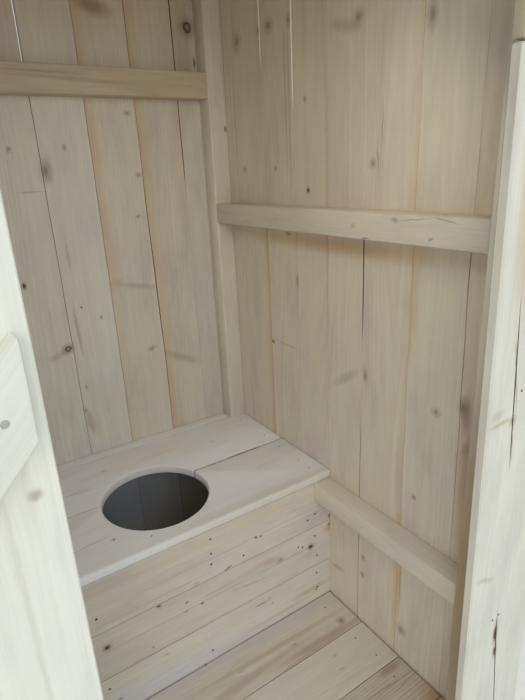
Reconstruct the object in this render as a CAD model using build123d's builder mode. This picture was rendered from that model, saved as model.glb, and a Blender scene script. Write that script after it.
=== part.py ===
from build123d import *
from math import atan, cos, radians, sin, tan
import os

# Wooden outhouse: a frame of square sawn bars, clad with upright boards.
# All sizes are in millimetres. +X is to the right of someone who looks in through
# the door, +Y runs from the door to the back wall and +Z is up. The origin lies
# on the ground, in the middle of the room.

# The room, measured between the inner faces of the boards
room_width = 920.0
room_depth = 1051.0

# Timber
board = 20.0
bar = 57.0
sill_height = 95.0
floor_thickness = 25.0
board_foot = 15.0
floor_gap = 4.0

# Roof
roof_pitch = 10.0
roof_board = 20.0
felt = 3.0
felt_fold = 40.0
front_overhang = 110.0
rear_overhang = 80.0
side_overhang = 70.0
fascia_height = 90.0

# Bench
seat_top = 440.0
seat_thickness = 25.0
seat_depth = 525.0
seat_nose = 4.0
seat_seam_from_back = 286.5
seat_gap = 2.0
seat_edge_radius = 9.0
hole_width = 286.0
hole_length = 298.0
hole_from_back = 327.0
hole_off_centre = 5.0
hole_edge_radius = 6.0
rear_rail_thickness = 38.0
stud_width = 98.0
stud_thickness = 20.0
middle_stud_x = 25.0

# Rails: the side ones by the height of their top above the floor
mid_rail_top = 1170.0
upper_rail_height = 67.0
upper_rail_drop = 197.0

# Doorway and door. The right front board is nailed askew, its foot further out
doorway_width = 660.0
doorway_height = 1780.0
front_board_width = 215.0
jamb_in = 8.0
jamb_out = 26.0
head_gap = 66.0
joint_height = 1409.0
joint_gap = 4.0
stop_height = 40.0
stop_thickness = 30.0
door_gap = 5.0
door_opening_angle = 175.0
ledge_width = 57.0
ledge_thickness = 28.0
ledge_inset = 14.0
lower_ledge = 400.0
upper_ledge_drop = 218.0
brace_top = 1163.0
brace_toe = 64.0

# Strap hinges
pin_offset = 8.0
pin_radius = 3.0
pin_clearance = 0.1
knuckle_radius = 6.5
knuckle_length = 14.0
knuckle_gap = 0.5
hinge_metal = 3.0
strap_length = 300.0
strap_root = 34.0
strap_tip = 18.0
plate_width = 34.0
plate_height = 100.0

# Door pull
pull_length = 200.0
pull_depth = 40.0
pull_width = 24.0
pull_grip = 16.0
pull_foot = 32.0
pull_slant = 6.0
pull_height = 950.0
pull_from_edge = 60.0

# Places that follow from the sizes above
side = room_width / 2
front = -room_depth / 2
back = room_depth / 2
floor_top = sill_height + floor_thickness
doorway = doorway_width / 2
header_bottom = floor_top + doorway_height
front_height = header_bottom + bar + head_gap + bar
seat_front = back - seat_depth
seat_back = back - rear_rail_thickness
seat_underside = floor_top + seat_top - seat_thickness
panel_front = seat_front + seat_nose
panel_back = panel_front + board
stud_back = panel_back + stud_thickness
fall = tan(radians(roof_pitch))
rear_height = front_height - (room_depth - bar) * fall
roof_front = -(board + front_overhang) / cos(radians(roof_pitch))
roof_rear = (room_depth + board + rear_overhang) / cos(radians(roof_pitch))
roof_half_width = side + board + side_overhang

os.makedirs("parts", exist_ok=True)

# The underside of the rafters, with local +Y down the slope towards the back
roof_plane = Plane(
    origin=(0, front, front_height),
    x_dir=(1, 0, 0),
    z_dir=(0, sin(radians(roof_pitch)), cos(radians(roof_pitch))),
)


def rafter_underside(y):
    """Height of the rafters' underside above a line across the hut."""
    return front_height - (y - front) * fall


def deck_underside(y):
    """Height of the roof boards' underside above a line across the hut."""
    return rafter_underside(y) + bar / cos(radians(roof_pitch))


# Base frame of four sills and a bearer under the bench's front
for end, y_middle in (("front", front + bar / 2), ("rear", back - bar / 2)):
    with BuildPart() as cross_sill:
        with BuildSketch(Plane.XY):
            with Locations((0, y_middle)):
                Rectangle(room_width, bar)
        extrude(amount=sill_height)
    cross_sill.part.label = f"sill_{end}"
    export_step(cross_sill.part, f"parts/sill_{end}.step")

for hand, sign in (("left", -1), ("right", 1)):
    with BuildPart() as side_sill:
        with BuildSketch(Plane.XY):
            with Locations((sign * (side - bar / 2), 0)):
                Rectangle(bar, room_depth - 2 * bar)
        extrude(amount=sill_height)
    side_sill.part.label = f"sill_{hand}"
    export_step(side_sill.part, f"parts/sill_{hand}.step")

with BuildPart() as bench_bearer:
    with BuildSketch(Plane.XY):
        with Locations((0, stud_back - bar / 2)):
            Rectangle(room_width - 2 * bar, bar)
    extrude(amount=sill_height)
bench_bearer.part.label = "bench_bearer"
export_step(bench_bearer.part, "parts/bench_bearer.step")

# Floor in front of the bench, notched round the front posts
with BuildPart() as floor:
    with BuildSketch(Plane.XY.offset(sill_height)):
        with Locations((0, (front + stud_back) / 2)):
            Rectangle(room_width - 2 * floor_gap, stud_back - front)
        with Locations((-side, front), (side, front)):
            Rectangle(2 * (bar + floor_gap), 2 * (bar + floor_gap), mode=Mode.SUBTRACT)
    extrude(amount=floor_thickness)
floor.part.label = "floor"
export_step(floor.part, "parts/floor.step")

# Corner posts, standing on the sills under the plates
posts = (
    ("post_front_left", -side + bar / 2, front + bar / 2, front_height - bar),
    ("post_front_right", side - bar / 2, front + bar / 2, front_height - bar),
    ("post_rear_left", -side + bar / 2, back - bar / 2, rear_height - bar),
    ("post_rear_right", side - bar / 2, back - bar / 2, rear_height - bar),
)
for post_name, post_x, post_y, post_top in posts:
    with BuildPart() as post:
        with BuildSketch(Plane.XY.offset(sill_height)):
            with Locations((post_x, post_y)):
                Rectangle(bar, bar)
        extrude(amount=post_top - sill_height)
    post.part.label = post_name
    export_step(post.part, f"parts/{post_name}.step")

# Plates on the posts, which carry the rafters
for end, y_middle, plate_top in (
    ("front", front + bar / 2, front_height),
    ("rear", back - bar / 2, rear_height),
):
    with BuildPart() as plate:
        with BuildSketch(Plane.XY.offset(plate_top - bar)):
            with Locations((0, y_middle)):
                Rectangle(room_width, bar)
        extrude(amount=bar)
    plate.part.label = f"plate_{end}"
    export_step(plate.part, f"parts/plate_{end}.step")

# Rails from post to post along the side walls, under the seat and at half height
side_rails = (
    ("seat_rail_left", -1, seat_underside),
    ("seat_rail_right", 1, seat_underside),
    ("mid_rail_left", -1, floor_top + mid_rail_top),
    ("mid_rail_right", 1, floor_top + mid_rail_top),
)
for rail_name, sign, rail_top in side_rails:
    with BuildPart() as side_rail:
        with BuildSketch(Plane.XY.offset(rail_top - bar)):
            with Locations((sign * (side - bar / 2), 0)):
                Rectangle(bar, room_depth - 2 * bar)
        extrude(amount=bar)
    side_rail.part.label = rail_name
    export_step(side_rail.part, f"parts/{rail_name}.step")

with BuildPart() as seat_rail_rear:
    with BuildSketch(Plane.XY.offset(floor_top + seat_top - bar)):
        with Locations((0, back - rear_rail_thickness / 2)):
            Rectangle(room_width - 2 * bar, rear_rail_thickness)
    extrude(amount=bar)
seat_rail_rear.part.label = "seat_rail_rear"
export_step(seat_rail_rear.part, "parts/seat_rail_rear.step")

with BuildPart() as upper_rail_rear:
    with BuildSketch(Plane.XY.offset(rear_height - bar - upper_rail_drop - upper_rail_height)):
        with Locations((0, back - bar / 2)):
            Rectangle(room_width - 2 * bar, bar)
    extrude(amount=upper_rail_height)
upper_rail_rear.part.label = "upper_rail_rear"
export_step(upper_rail_rear.part, "parts/upper_rail_rear.step")

# Header over the doorway, with the batten under it that stops the door
with BuildPart() as door_header:
    with BuildSketch(Plane.XY.offset(header_bottom)):
        with Locations((0, front + bar / 2)):
            Rectangle(room_width - 2 * bar, bar)
    extrude(amount=bar)
door_header.part.label = "door_header"
export_step(door_header.part, "parts/door_header.step")

with BuildPart() as door_stop:
    with BuildSketch(Plane.XY.offset(header_bottom - stop_height)):
        with Locations((0, front + door_gap + stop_thickness / 2)):
            Rectangle(room_width - 2 * bar, stop_thickness)
    extrude(amount=stop_height)
door_stop.part.label = "door_stop"
export_step(door_stop.part, "parts/door_stop.step")

# Board walls. The side walls rise to the roof boards, the others stop under the rafters
with BuildPart() as back_wall:
    with BuildSketch(Plane.XY.offset(board_foot)):
        with Locations((0, back + board / 2)):
            Rectangle(room_width + 2 * board, board)
    extrude(amount=rafter_underside(back + board) - board_foot)
back_wall.part.label = "back_wall"
export_step(back_wall.part, "parts/back_wall.step")

for hand, sign in (("left", -1), ("right", 1)):
    with BuildPart() as side_wall:
        with BuildSketch(Plane.YZ.offset(sign * side)):
            with BuildLine():
                Polyline(
                    (front, board_foot),
                    (back, board_foot),
                    (back, deck_underside(back)),
                    (front, deck_underside(front)),
                    close=True,
                )
            make_face()
        extrude(amount=sign * board)
    side_wall.part.label = f"{hand}_wall"
    export_step(side_wall.part, f"parts/{hand}_wall.step")

# Front boards: one beside each edge of the doorway, one over it and one under it. They
# reach past the side walls, and the right one is pieced out of two lengths. Each board
# has its inner and outer edge at its foot, then at its top
joint_bottom = floor_top + joint_height - joint_gap / 2
joint_top = floor_top + joint_height + joint_gap / 2
jamb_foot = doorway + jamb_out
jamb_top = doorway - jamb_in
jamb_at_floor = jamb_foot + (jamb_top - jamb_foot) * (floor_top - board_foot) / (joint_bottom - board_foot)
left_outer = -doorway - front_board_width
foot_outer = jamb_foot + front_board_width
top_outer = jamb_top + front_board_width
front_boards = (
    ("front_board_left", board_foot, front_height, left_outer, -doorway, left_outer, -doorway),
    ("front_board_right", board_foot, joint_bottom, jamb_foot, foot_outer, jamb_top, top_outer),
    ("front_board_right_upper", joint_top, front_height, jamb_top, top_outer, jamb_top, top_outer),
    ("front_head", header_bottom, front_height, -doorway, jamb_top, -doorway, jamb_top),
    ("threshold", board_foot, floor_top, -doorway, jamb_foot, -doorway, jamb_at_floor),
)
for board_name, low, high, low_left, low_right, high_left, high_right in front_boards:
    with BuildPart() as front_board:
        with BuildSketch(Plane.XZ.offset(-front)):
            with BuildLine():
                Polyline((low_left, low), (low_right, low), (high_right, high), (high_left, high), close=True)
            make_face()
        extrude(amount=board)
    front_board.part.label = board_name
    export_step(front_board.part, f"parts/{board_name}.step")

# Rafters, notched over both plates
rafter_length = roof_rear - roof_front
with BuildPart() as rafters:
    with BuildSketch(roof_plane):
        with Locations((0, (roof_front + roof_rear) / 2)):
            with GridLocations(side - bar / 2, 1, 3, 1):
                Rectangle(bar, rafter_length)
    extrude(amount=bar)
    with BuildSketch(Plane.XY.offset(front_height - bar)):
        with Locations((0, front + bar / 2)):
            Rectangle(room_width, bar)
    extrude(amount=bar, mode=Mode.SUBTRACT)
    with BuildSketch(Plane.XY.offset(rear_height - bar)):
        with Locations((0, back - bar / 2)):
            Rectangle(room_width, bar)
    extrude(amount=bar, mode=Mode.SUBTRACT)
rafters.part.label = "rafters"
export_step(rafters.part, "parts/rafters.step")

# Roof boards, and the fascias and bargeboards nailed round their edge
with BuildPart() as roof_deck:
    with BuildSketch(roof_plane.offset(bar)):
        with Locations((0, (roof_front + roof_rear) / 2)):
            Rectangle(2 * roof_half_width, rafter_length)
    extrude(amount=roof_board)
roof_deck.part.label = "roof_deck"
export_step(roof_deck.part, "parts/roof_deck.step")

fascia_plane = roof_plane.offset(bar + roof_board - fascia_height)
for end, slope_y in (("front", roof_front - board / 2), ("rear", roof_rear + board / 2)):
    with BuildPart() as fascia:
        with BuildSketch(fascia_plane):
            with Locations((0, slope_y)):
                Rectangle(2 * roof_half_width, board)
        extrude(amount=fascia_height)
    fascia.part.label = f"fascia_{end}"
    export_step(fascia.part, f"parts/fascia_{end}.step")

for hand, sign in (("left", -1), ("right", 1)):
    with BuildPart() as bargeboard:
        with BuildSketch(fascia_plane):
            with Locations((sign * (roof_half_width + board / 2), (roof_front + roof_rear) / 2)):
                Rectangle(board, rafter_length + 2 * board)
        extrude(amount=fascia_height)
    bargeboard.part.label = f"bargeboard_{hand}"
    export_step(bargeboard.part, f"parts/bargeboard_{hand}.step")

# Roofing felt, folded down over the fascias and bargeboards
with BuildPart() as roof_felt:
    with BuildSketch(roof_plane.offset(bar + roof_board - felt_fold)):
        with Locations((0, (roof_front + roof_rear) / 2)):
            Rectangle(2 * (roof_half_width + board + felt), rafter_length + 2 * (board + felt))
    extrude(amount=felt_fold + felt)
    with BuildSketch(roof_plane.offset(bar + roof_board - felt_fold)):
        with Locations((0, (roof_front + roof_rear) / 2)):
            Rectangle(2 * (roof_half_width + board), rafter_length + 2 * board)
    extrude(amount=felt_fold, mode=Mode.SUBTRACT)
roof_felt.part.label = "roof_felt"
export_step(roof_felt.part, "parts/roof_felt.step")

# Bench seat of two boards, with the hole cut through the seam between them
seat_seam = back - seat_seam_from_back
hole_y = back - hole_from_back
seat_boards = (
    ("seat_board_front", seat_front, seat_seam - seat_gap / 2),
    ("seat_board_rear", seat_seam + seat_gap / 2, seat_back),
)
for board_name, near, far in seat_boards:
    with BuildPart() as seat_board:
        with BuildSketch(Plane.XY.offset(seat_underside)):
            with Locations((0, (near + far) / 2)):
                Rectangle(room_width - 2 * seat_gap, far - near)
            with Locations((hole_off_centre, hole_y)):
                Ellipse(hole_width / 2, hole_length / 2, mode=Mode.SUBTRACT)
            with Locations((-side, back), (side, back)):
                Rectangle(2 * bar, 2 * bar, mode=Mode.SUBTRACT)
        extrude(amount=seat_thickness)
        rim = seat_board.edges().filter_by(GeomType.ELLIPSE).group_by(Axis.Z)[-1]
        fillet(rim, hole_edge_radius)
        if near == seat_front:
            nose = seat_board.edges().filter_by(Axis.X).group_by(Axis.Y)[0]
            fillet(nose, seat_edge_radius)
    seat_board.part.label = board_name
    export_step(seat_board.part, f"parts/{board_name}.step")

# Front panel of the bench, notched round the two side rails that carry the seat
with BuildPart() as bench_panel:
    with BuildSketch(Plane.XZ.offset(-panel_front)):
        with Locations((0, (floor_top + seat_underside) / 2)):
            Rectangle(room_width, seat_underside - floor_top)
        with Locations((-side, seat_underside), (side, seat_underside)):
            Rectangle(2 * bar, 2 * bar, mode=Mode.SUBTRACT)
    extrude(amount=-board)
bench_panel.part.label = "bench_panel"
export_step(bench_panel.part, "parts/bench_panel.step")

# Flat studs behind the panel: one in the middle and one under each side rail
wall_stud_x = side - stud_width / 2
with BuildPart() as bench_studs:
    with BuildSketch(Plane.XZ.offset(-panel_back)):
        with Locations((middle_stud_x, floor_top)):
            Rectangle(stud_width, seat_underside - floor_top, align=(Align.CENTER, Align.MIN))
        with Locations((-wall_stud_x, floor_top), (wall_stud_x, floor_top)):
            Rectangle(stud_width, seat_underside - bar - floor_top, align=(Align.CENTER, Align.MIN))
    extrude(amount=-stud_thickness)
bench_studs.part.label = "bench_studs"
export_step(bench_studs.part, "parts/bench_studs.step")

# The door stands open. Its own axes start at the hinge pin, at floor level: local X
# runs along the leaf, local Y up, and the outer face lies on the +Z side
pin_x = -doorway
pin_y = front - board - pin_offset
opened = radians(door_opening_angle)
leaf_along = Vector(cos(opened), -sin(opened), 0)
leaf_outward = Vector(-sin(opened), -cos(opened), 0)
leaf_plane = Plane(origin=(pin_x, pin_y, floor_top), x_dir=leaf_along, z_dir=leaf_outward)
outer_face = leaf_plane.offset(-pin_offset)
inner_face = leaf_plane.offset(-pin_offset - board)
leaf_width = doorway + jamb_top - 2 * door_gap
leaf_height = doorway_height - 2 * door_gap
leaf_end = door_gap + leaf_width

with BuildPart() as door_leaf:
    with BuildSketch(outer_face):
        with Locations((door_gap, door_gap)):
            Rectangle(leaf_width, leaf_height, align=(Align.MIN, Align.MIN))
    extrude(amount=-board)
door_leaf.part.label = "door_leaf"
export_step(door_leaf.part, "parts/door_leaf.step")

# Two ledges across the inside of the leaf
upper_ledge = door_gap + leaf_height - upper_ledge_drop - ledge_width
ledge_start = door_gap + ledge_inset
ledge_end = leaf_end - ledge_inset
with BuildPart() as door_ledges:
    with BuildSketch(inner_face):
        with Locations((ledge_start, lower_ledge), (ledge_start, upper_ledge)):
            Rectangle(ledge_end - ledge_start, ledge_width, align=(Align.MIN, Align.MIN))
    extrude(amount=-ledge_thickness)
door_ledges.part.label = "door_ledges"
export_step(door_ledges.part, "parts/door_ledges.step")

# The brace slants down from the hinge side, at about 45 degrees. Its foot stands on the lower
# ledge, and the toe of its upper edge is cut off at the ledge's end
brace_foot = lower_ledge + ledge_width
brace_run = ledge_end - ledge_start
brace_slope = (brace_top - brace_toe - brace_foot) / brace_run
brace_drop = ledge_width / cos(atan(brace_slope))
with BuildPart() as door_brace:
    with BuildSketch(inner_face):
        with BuildLine():
            Polyline(
                (ledge_start, brace_top),
                (ledge_end, brace_foot + brace_toe),
                (ledge_end, brace_foot),
                (ledge_start + (brace_top - brace_drop - brace_foot) / brace_slope, brace_foot),
                (ledge_start, brace_top - brace_drop),
                close=True,
            )
        make_face()
    extrude(amount=-ledge_thickness)
door_brace.part.label = "door_brace"
export_step(door_brace.part, "parts/door_brace.step")

# Wooden pull on the outside of the leaf, an arch cut from one block. Its profile lies
# in an upright plane across the leaf, with local X up and local Y away from the leaf
pull_side = leaf_end - pull_from_edge - pull_width
pull_foot_centre = outer_face.from_local_coords((pull_side, pull_height, 0))
pull_plane = Plane(origin=pull_foot_centre, x_dir=(0, 0, 1), z_dir=leaf_along)
pull_inner = pull_length / 2 - pull_foot
pull_outer = pull_length / 2
with BuildPart() as door_pull:
    with BuildSketch(pull_plane):
        with BuildLine():
            Polyline(
                (-pull_outer, 0),
                (-pull_outer + pull_grip, pull_depth),
                (pull_outer - pull_grip, pull_depth),
                (pull_outer, 0),
                (pull_inner, 0),
                (pull_inner - pull_slant, pull_depth - pull_grip),
                (-pull_inner + pull_slant, pull_depth - pull_grip),
                (-pull_inner, 0),
                close=True,
            )
        make_face()
    extrude(amount=pull_width)
door_pull.part.label = "door_pull"
export_step(door_pull.part, "parts/door_pull.step")

# Strap hinges: each plate and its two knuckles are fixed, and so is the pin
hinge_levels = (lower_ledge + ledge_width / 2, upper_ledge + ledge_width / 2)
moving_half = knuckle_length / 2
fixed_start = moving_half + knuckle_gap
fixed_end = fixed_start + knuckle_length
with BuildPart() as hinge_plates:
    for level in hinge_levels:
        height = floor_top + level
        with BuildSketch(Plane.XZ.offset(-(front - board))):
            with Locations((pin_x - knuckle_radius - 1, height)):
                Rectangle(plate_width, plate_height, align=(Align.MAX, Align.CENTER))
            for sign in (-1, 1):
                with Locations((pin_x - knuckle_radius - 2, height + sign * (fixed_start + fixed_end) / 2)):
                    Rectangle(knuckle_radius + 2, knuckle_length, align=(Align.MIN, Align.CENTER))
        extrude(amount=hinge_metal)
        with BuildSketch(Plane.XY.offset(height - fixed_end)):
            with Locations((pin_x, pin_y)):
                Circle(pin_radius)
        extrude(amount=2 * fixed_end)
        for foot in (height - fixed_end, height + fixed_start):
            with BuildSketch(Plane.XY.offset(foot)):
                with Locations((pin_x, pin_y)):
                    Circle(knuckle_radius)
            extrude(amount=knuckle_length)
hinge_plates.part.label = "hinge_plates"
export_step(hinge_plates.part, "parts/hinge_plates.step")

# The straps ride on the leaf, each with one knuckle between the fixed pair
strap_start = knuckle_radius + 1
with BuildPart() as hinge_straps:
    for level in hinge_levels:
        with BuildSketch(outer_face * Pos(0, level)):
            with BuildLine():
                Polyline(
                    (0, -moving_half),
                    (strap_start, -moving_half),
                    (strap_start, -strap_root / 2),
                    (strap_length - strap_tip / 2, -strap_tip / 2),
                    (strap_length, 0),
                    (strap_length - strap_tip / 2, strap_tip / 2),
                    (strap_start, strap_root / 2),
                    (strap_start, moving_half),
                    (0, moving_half),
                    close=True,
                )
            make_face()
        extrude(amount=hinge_metal)
        height = floor_top + level
        with BuildSketch(Plane.XY.offset(height - moving_half)):
            with Locations((pin_x, pin_y)):
                Circle(knuckle_radius)
        extrude(amount=knuckle_length)
        with BuildSketch(Plane.XY.offset(height - moving_half)):
            with Locations((pin_x, pin_y)):
                Circle(pin_radius + pin_clearance)
        extrude(amount=knuckle_length, mode=Mode.SUBTRACT)
hinge_straps.part.label = "hinge_straps"
export_step(hinge_straps.part, "parts/hinge_straps.step")
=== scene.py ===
import math
import random
from collections import namedtuple

import bmesh
import bpy
import numpy
from mathutils import Matrix, Vector


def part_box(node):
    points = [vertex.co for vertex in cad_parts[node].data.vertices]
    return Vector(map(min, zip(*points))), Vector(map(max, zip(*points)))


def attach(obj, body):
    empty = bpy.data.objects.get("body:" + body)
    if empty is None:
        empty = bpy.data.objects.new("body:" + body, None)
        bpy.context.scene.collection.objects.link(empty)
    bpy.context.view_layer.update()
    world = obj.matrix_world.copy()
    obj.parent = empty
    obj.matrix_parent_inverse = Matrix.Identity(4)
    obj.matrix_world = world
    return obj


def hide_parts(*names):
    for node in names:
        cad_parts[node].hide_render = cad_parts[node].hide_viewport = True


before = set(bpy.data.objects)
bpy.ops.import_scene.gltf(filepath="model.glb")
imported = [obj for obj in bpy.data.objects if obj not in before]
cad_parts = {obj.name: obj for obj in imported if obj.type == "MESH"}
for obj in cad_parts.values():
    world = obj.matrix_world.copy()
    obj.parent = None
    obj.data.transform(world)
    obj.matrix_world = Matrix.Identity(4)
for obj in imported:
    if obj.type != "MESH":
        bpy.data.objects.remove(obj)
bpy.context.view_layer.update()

# Camera. It stands just outside the open door at chest height and looks down into the
# hut, to the right, so that the door's hinge edge fills the left of the view.
CAMERA_SPOT = Vector((-0.38902, -0.99358, 1.38599))
CAMERA_RIGHT = Vector((0.8326403, -0.55190994, -0.04588626))
CAMERA_UP = Vector((0.2182441, 0.25084396, 0.94310488))


def put(name, data):
    """A new object in the scene."""
    made = bpy.data.objects.new(name, data)
    bpy.context.scene.collection.objects.link(made)
    return made


camera_data = bpy.data.cameras.new("camera")
camera_data.sensor_width = 36.0
camera_data.lens = 26.75
camera_data.clip_start = 0.01
camera = put("camera", camera_data)
camera_axes = Matrix((CAMERA_RIGHT, CAMERA_UP, CAMERA_RIGHT.cross(CAMERA_UP))).transposed()
camera.matrix_world = Matrix.Translation(CAMERA_SPOT) @ camera_axes.to_4x4()
bpy.context.scene.camera = camera
bpy.context.scene.view_settings.view_transform = "Standard"

# Base frame. Four square sills of planed spruce lie on the ground, butted at the corners,
# with a fifth bar across the middle that carries the front of the bench.
# Each piece keeps its grain in its own axes: across the board, through it and along it.
Lay = namedtuple("Lay", "origin across through along")
ACROSS_HUT = Vector((1, 0, 0))
INTO_HUT = Vector((0, 1, 0))
UPWARDS = Vector((0, 0, 1))
NOWHERE = Vector((0, 0, 0))
ASIDE = Vector((0, 0, 7))


def tint(red, green, blue):
    """A colour given as screen values from 0 to 255, as the linear colour of a shader."""
    linear = [((value / 255 + 0.055) / 1.055) ** 2.4 for value in (red, green, blue)]
    return (*linear, 1.0)


def fill(tree, node, inputs):
    """Sets or links the inputs of a node."""
    for socket, value in inputs.items():
        if isinstance(value, bpy.types.NodeSocket):
            tree.links.new(value, node.inputs[socket])
        else:
            node.inputs[socket].default_value = value


def add(tree, kind, inputs=None, **options):
    """A new shader node with its options set and its inputs filled."""
    made = tree.nodes.new("ShaderNode" + kind)
    for option, value in options.items():
        setattr(made, option, value)
    fill(tree, made, inputs or {})
    return made


def calc(tree, operation, first, second=0.0, third=0.0):
    """The result of a Math node."""
    return add(tree, "Math", {0: first, 1: second, 2: third}, operation=operation).outputs[0]


def moved(tree, operation, first, second):
    """The result of a Vector Math node."""
    return add(tree, "VectorMath", {0: first, 1: second}, operation=operation).outputs[0]


def ramped(tree, value, start, end, low=0.0, high=1.0):
    """A smooth step of a value from start to end."""
    inputs = {"Value": value, "From Min": start, "From Max": end, "To Min": low, "To Max": high}
    return add(tree, "MapRange", inputs, interpolation_type="SMOOTHSTEP").outputs[0]


def mixed(tree, factor, first, second, blend="MIX"):
    """The result of a colour mix."""
    made = add(tree, "Mix", {0: factor, 6: first, 7: second}, data_type="RGBA", blend_type=blend)
    return made.outputs[2]


def noise(tree, place, scale, detail=2.0, rough=0.5):
    """Noise from 0 to 1 at a place."""
    inputs = {"Vector": place, "Scale": scale, "Detail": detail, "Roughness": rough}
    return add(tree, "TexNoise", inputs).outputs[0]


def stretched(tree, place, scale, detail, rough=0.5):
    """The outputs of a noise with its own scale across, through and along the board."""
    spread = add(tree, "Mapping", {"Vector": place, "Scale": scale}).outputs[0]
    inputs = {"Vector": spread, "Scale": 1.0, "Detail": detail, "Roughness": rough}
    return add(tree, "TexNoise", inputs).outputs


def around(tree, value, share, base):
    """A base moved up or down by a share of a noise that runs from 0 to 1."""
    return calc(tree, "MULTIPLY_ADD", calc(tree, "SUBTRACT", value, 0.5), share, base)


def length_of(tree, vector):
    """The length of a vector."""
    return add(tree, "VectorMath", {0: vector}, operation="LENGTH").outputs["Value"]


def relief(tree, height, strength, depth):
    """A bump from a height."""
    return add(tree, "Bump", {"Height": height, "Strength": strength, "Distance": depth}).outputs[0]


def new_material(name):
    """A material with its node tree and its surface shader."""
    material = bpy.data.materials.new(name)
    material.use_nodes = True
    return material, material.node_tree, material.node_tree.nodes["Principled BSDF"]


def noted(tree, name):
    """A vector that a mesh keeps for each vertex, and its three parts."""
    vector = add(tree, "Attribute", attribute_name=name).outputs["Vector"]
    return vector, add(tree, "SeparateXYZ", {0: vector}).outputs


def spot_on(tree, surface, across, along, half_across, half_along, turn):
    """How far a point lies from a spot's centre, where 1 is the edge of the spot, which is
    given in millimetres and degrees."""
    inputs = {
        "Vector": surface,
        "Location": (across / 1000, along / 1000, 0),
        "Rotation": (0, 0, math.radians(turn)),
        "Scale": (half_across / 1000, half_along / 1000, 1),
    }
    return length_of(tree, add(tree, "Mapping", inputs, vector_type="TEXTURE").outputs[0])


PALE_WOOD = tint(229, 222, 211)
PINK_WOOD = tint(224, 211, 204)
GREEN_WOOD = tint(224, 221, 202)
YELLOW_WOOD = tint(222, 196, 150)
STRIPE_WOOD = tint(215, 182, 128)
# Near white: painted daylight on the chamfers beside daylight slits, and a little of it on the back wall's
# foot in the pit.
SLIT_LIGHT_AND_FOOT_WHITE = tint(252, 247, 236)
LATE_WOOD = tint(184, 156, 122)
KNOT_RIM = tint(82, 56, 36)
KNOT_SHADOW = tint(122, 100, 66)
JOINT_DIRT = tint(104, 72, 50)
KNOT_KINDS = {"faint": (0.6, 0.25), "dark": (0.88, 0.7), "ringed": (0.9, 0.8), "chance": (0.6, 0.6)}
FAINT_BELOW = 0.55
SMALL_KNOT = 9.5
FAR_OFF = 9.0
KNOT_CELL = (0.115, 0.62, 1.0)
KNOT_LEAST = 0.0025
KNOT_SPREAD = 0.008
KNOT_SWELL = 0.005
HALO_SHARE = 0.45
RING_WIDTH = 0.0075
WANDER_ACROSS = 0.11
WANDER_THROUGH = 0.07
RIPPLE_REACH = 0.011
FRAY_REACH = 0.0055
FRAY_SCALE = (110, 110, 45)
WANDER_SCALE = (0.35, 0.35, 0.9)
RIPPLE_SCALE = (24, 24, 2.6)
FIBRE_SCALE = (380, 380, 9)
BROAD_SCALE = (15, 15, 5)
FIBRE_SHADE = 0.17
STREAK_SHADE = 0.24
BROAD_SHADE = 0.34


def knot_shades(tree, surface, own, knots, chance_knots):
    """How the knots push the rings aside, and how dark faint knots and dark ones are."""
    nearest = {}
    for *spot, darkness in knots:
        kind = "faint" if darkness < FAINT_BELOW else "dark" if spot[2] < SMALL_KNOT else "ringed"
        nearest[kind] = calc(tree, "MINIMUM", nearest.get(kind, FAR_OFF), spot_on(tree, surface, *spot))
    if chance_knots:
        cells = moved(tree, "DIVIDE", moved(tree, "ADD", surface, own), KNOT_CELL)
        voronoi = add(tree, "TexVoronoi", {"Vector": cells, "Scale": 1.0}, voronoi_dimensions="2D")
        offset = moved(tree, "SUBTRACT", cells, voronoi.outputs["Position"])
        luck, size, _ = add(tree, "SeparateColor", {0: voronoi.outputs["Color"]}).outputs
        knot_radius = calc(tree, "MULTIPLY_ADD", size, KNOT_SPREAD, KNOT_LEAST)
        far = calc(tree, "DIVIDE", length_of(tree, moved(tree, "MULTIPLY", offset, KNOT_CELL)), knot_radius)
        missing = calc(tree, "GREATER_THAN", luck, chance_knots)
        nearest["chance"] = calc(tree, "ADD", far, calc(tree, "MULTIPLY", missing, FAR_OFF))
    swell, faint_shade, knot_shade = 0.0, 0.0, 0.0
    for kind, far in nearest.items():
        darkness, sharpness = KNOT_KINDS[kind]
        swell = calc(tree, "ADD", swell, ramped(tree, far, 4.0, 0.2, 0.0, KNOT_SWELL))
        shade = ramped(tree, far, 2.0 - sharpness, sharpness, 0.0, darkness)
        if kind in ("ringed", "chance"):
            shade = calc(tree, "MULTIPLY", shade, ramped(tree, far, 0.35, 0.85, 0.45, 1.0))
        halo = ramped(tree, far, 2.8, 0.9, 0.0, darkness * HALO_SHARE)
        faint_shade = calc(tree, "MAXIMUM", faint_shade, halo)
        if kind == "faint":
            faint_shade = calc(tree, "MAXIMUM", faint_shade, shade)
        else:
            knot_shade = calc(tree, "MAXIMUM", knot_shade, shade)
    return swell, faint_shade, knot_shade


def ring_lines(tree, placed, across, through, heart_across, heart_depth, swell):
    """The rings of late wood round a heart that wanders along the board."""
    wander = stretched(tree, placed, WANDER_SCALE, 1.0)["Color"]
    wander_across, wander_depth, _ = add(tree, "SeparateColor", {0: wander}).outputs
    aside = around(tree, wander_across, WANDER_ACROSS, calc(tree, "SUBTRACT", across, heart_across))
    behind = around(tree, wander_depth, WANDER_THROUGH, calc(tree, "SUBTRACT", through, heart_depth))
    radius = length_of(tree, add(tree, "CombineXYZ", {0: aside, 1: behind}).outputs[0])
    ripple = stretched(tree, placed, RIPPLE_SCALE, 3.0)[0]
    radius = calc(tree, "ADD", calc(tree, "MULTIPLY_ADD", ripple, RIPPLE_REACH, radius), swell)
    phase = calc(tree, "FRACT", calc(tree, "DIVIDE", radius, RING_WIDTH))
    return calc(tree, "MULTIPLY", ramped(tree, phase, 0.2, 0.85), ramped(tree, phase, 1.0, 0.88))


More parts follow.
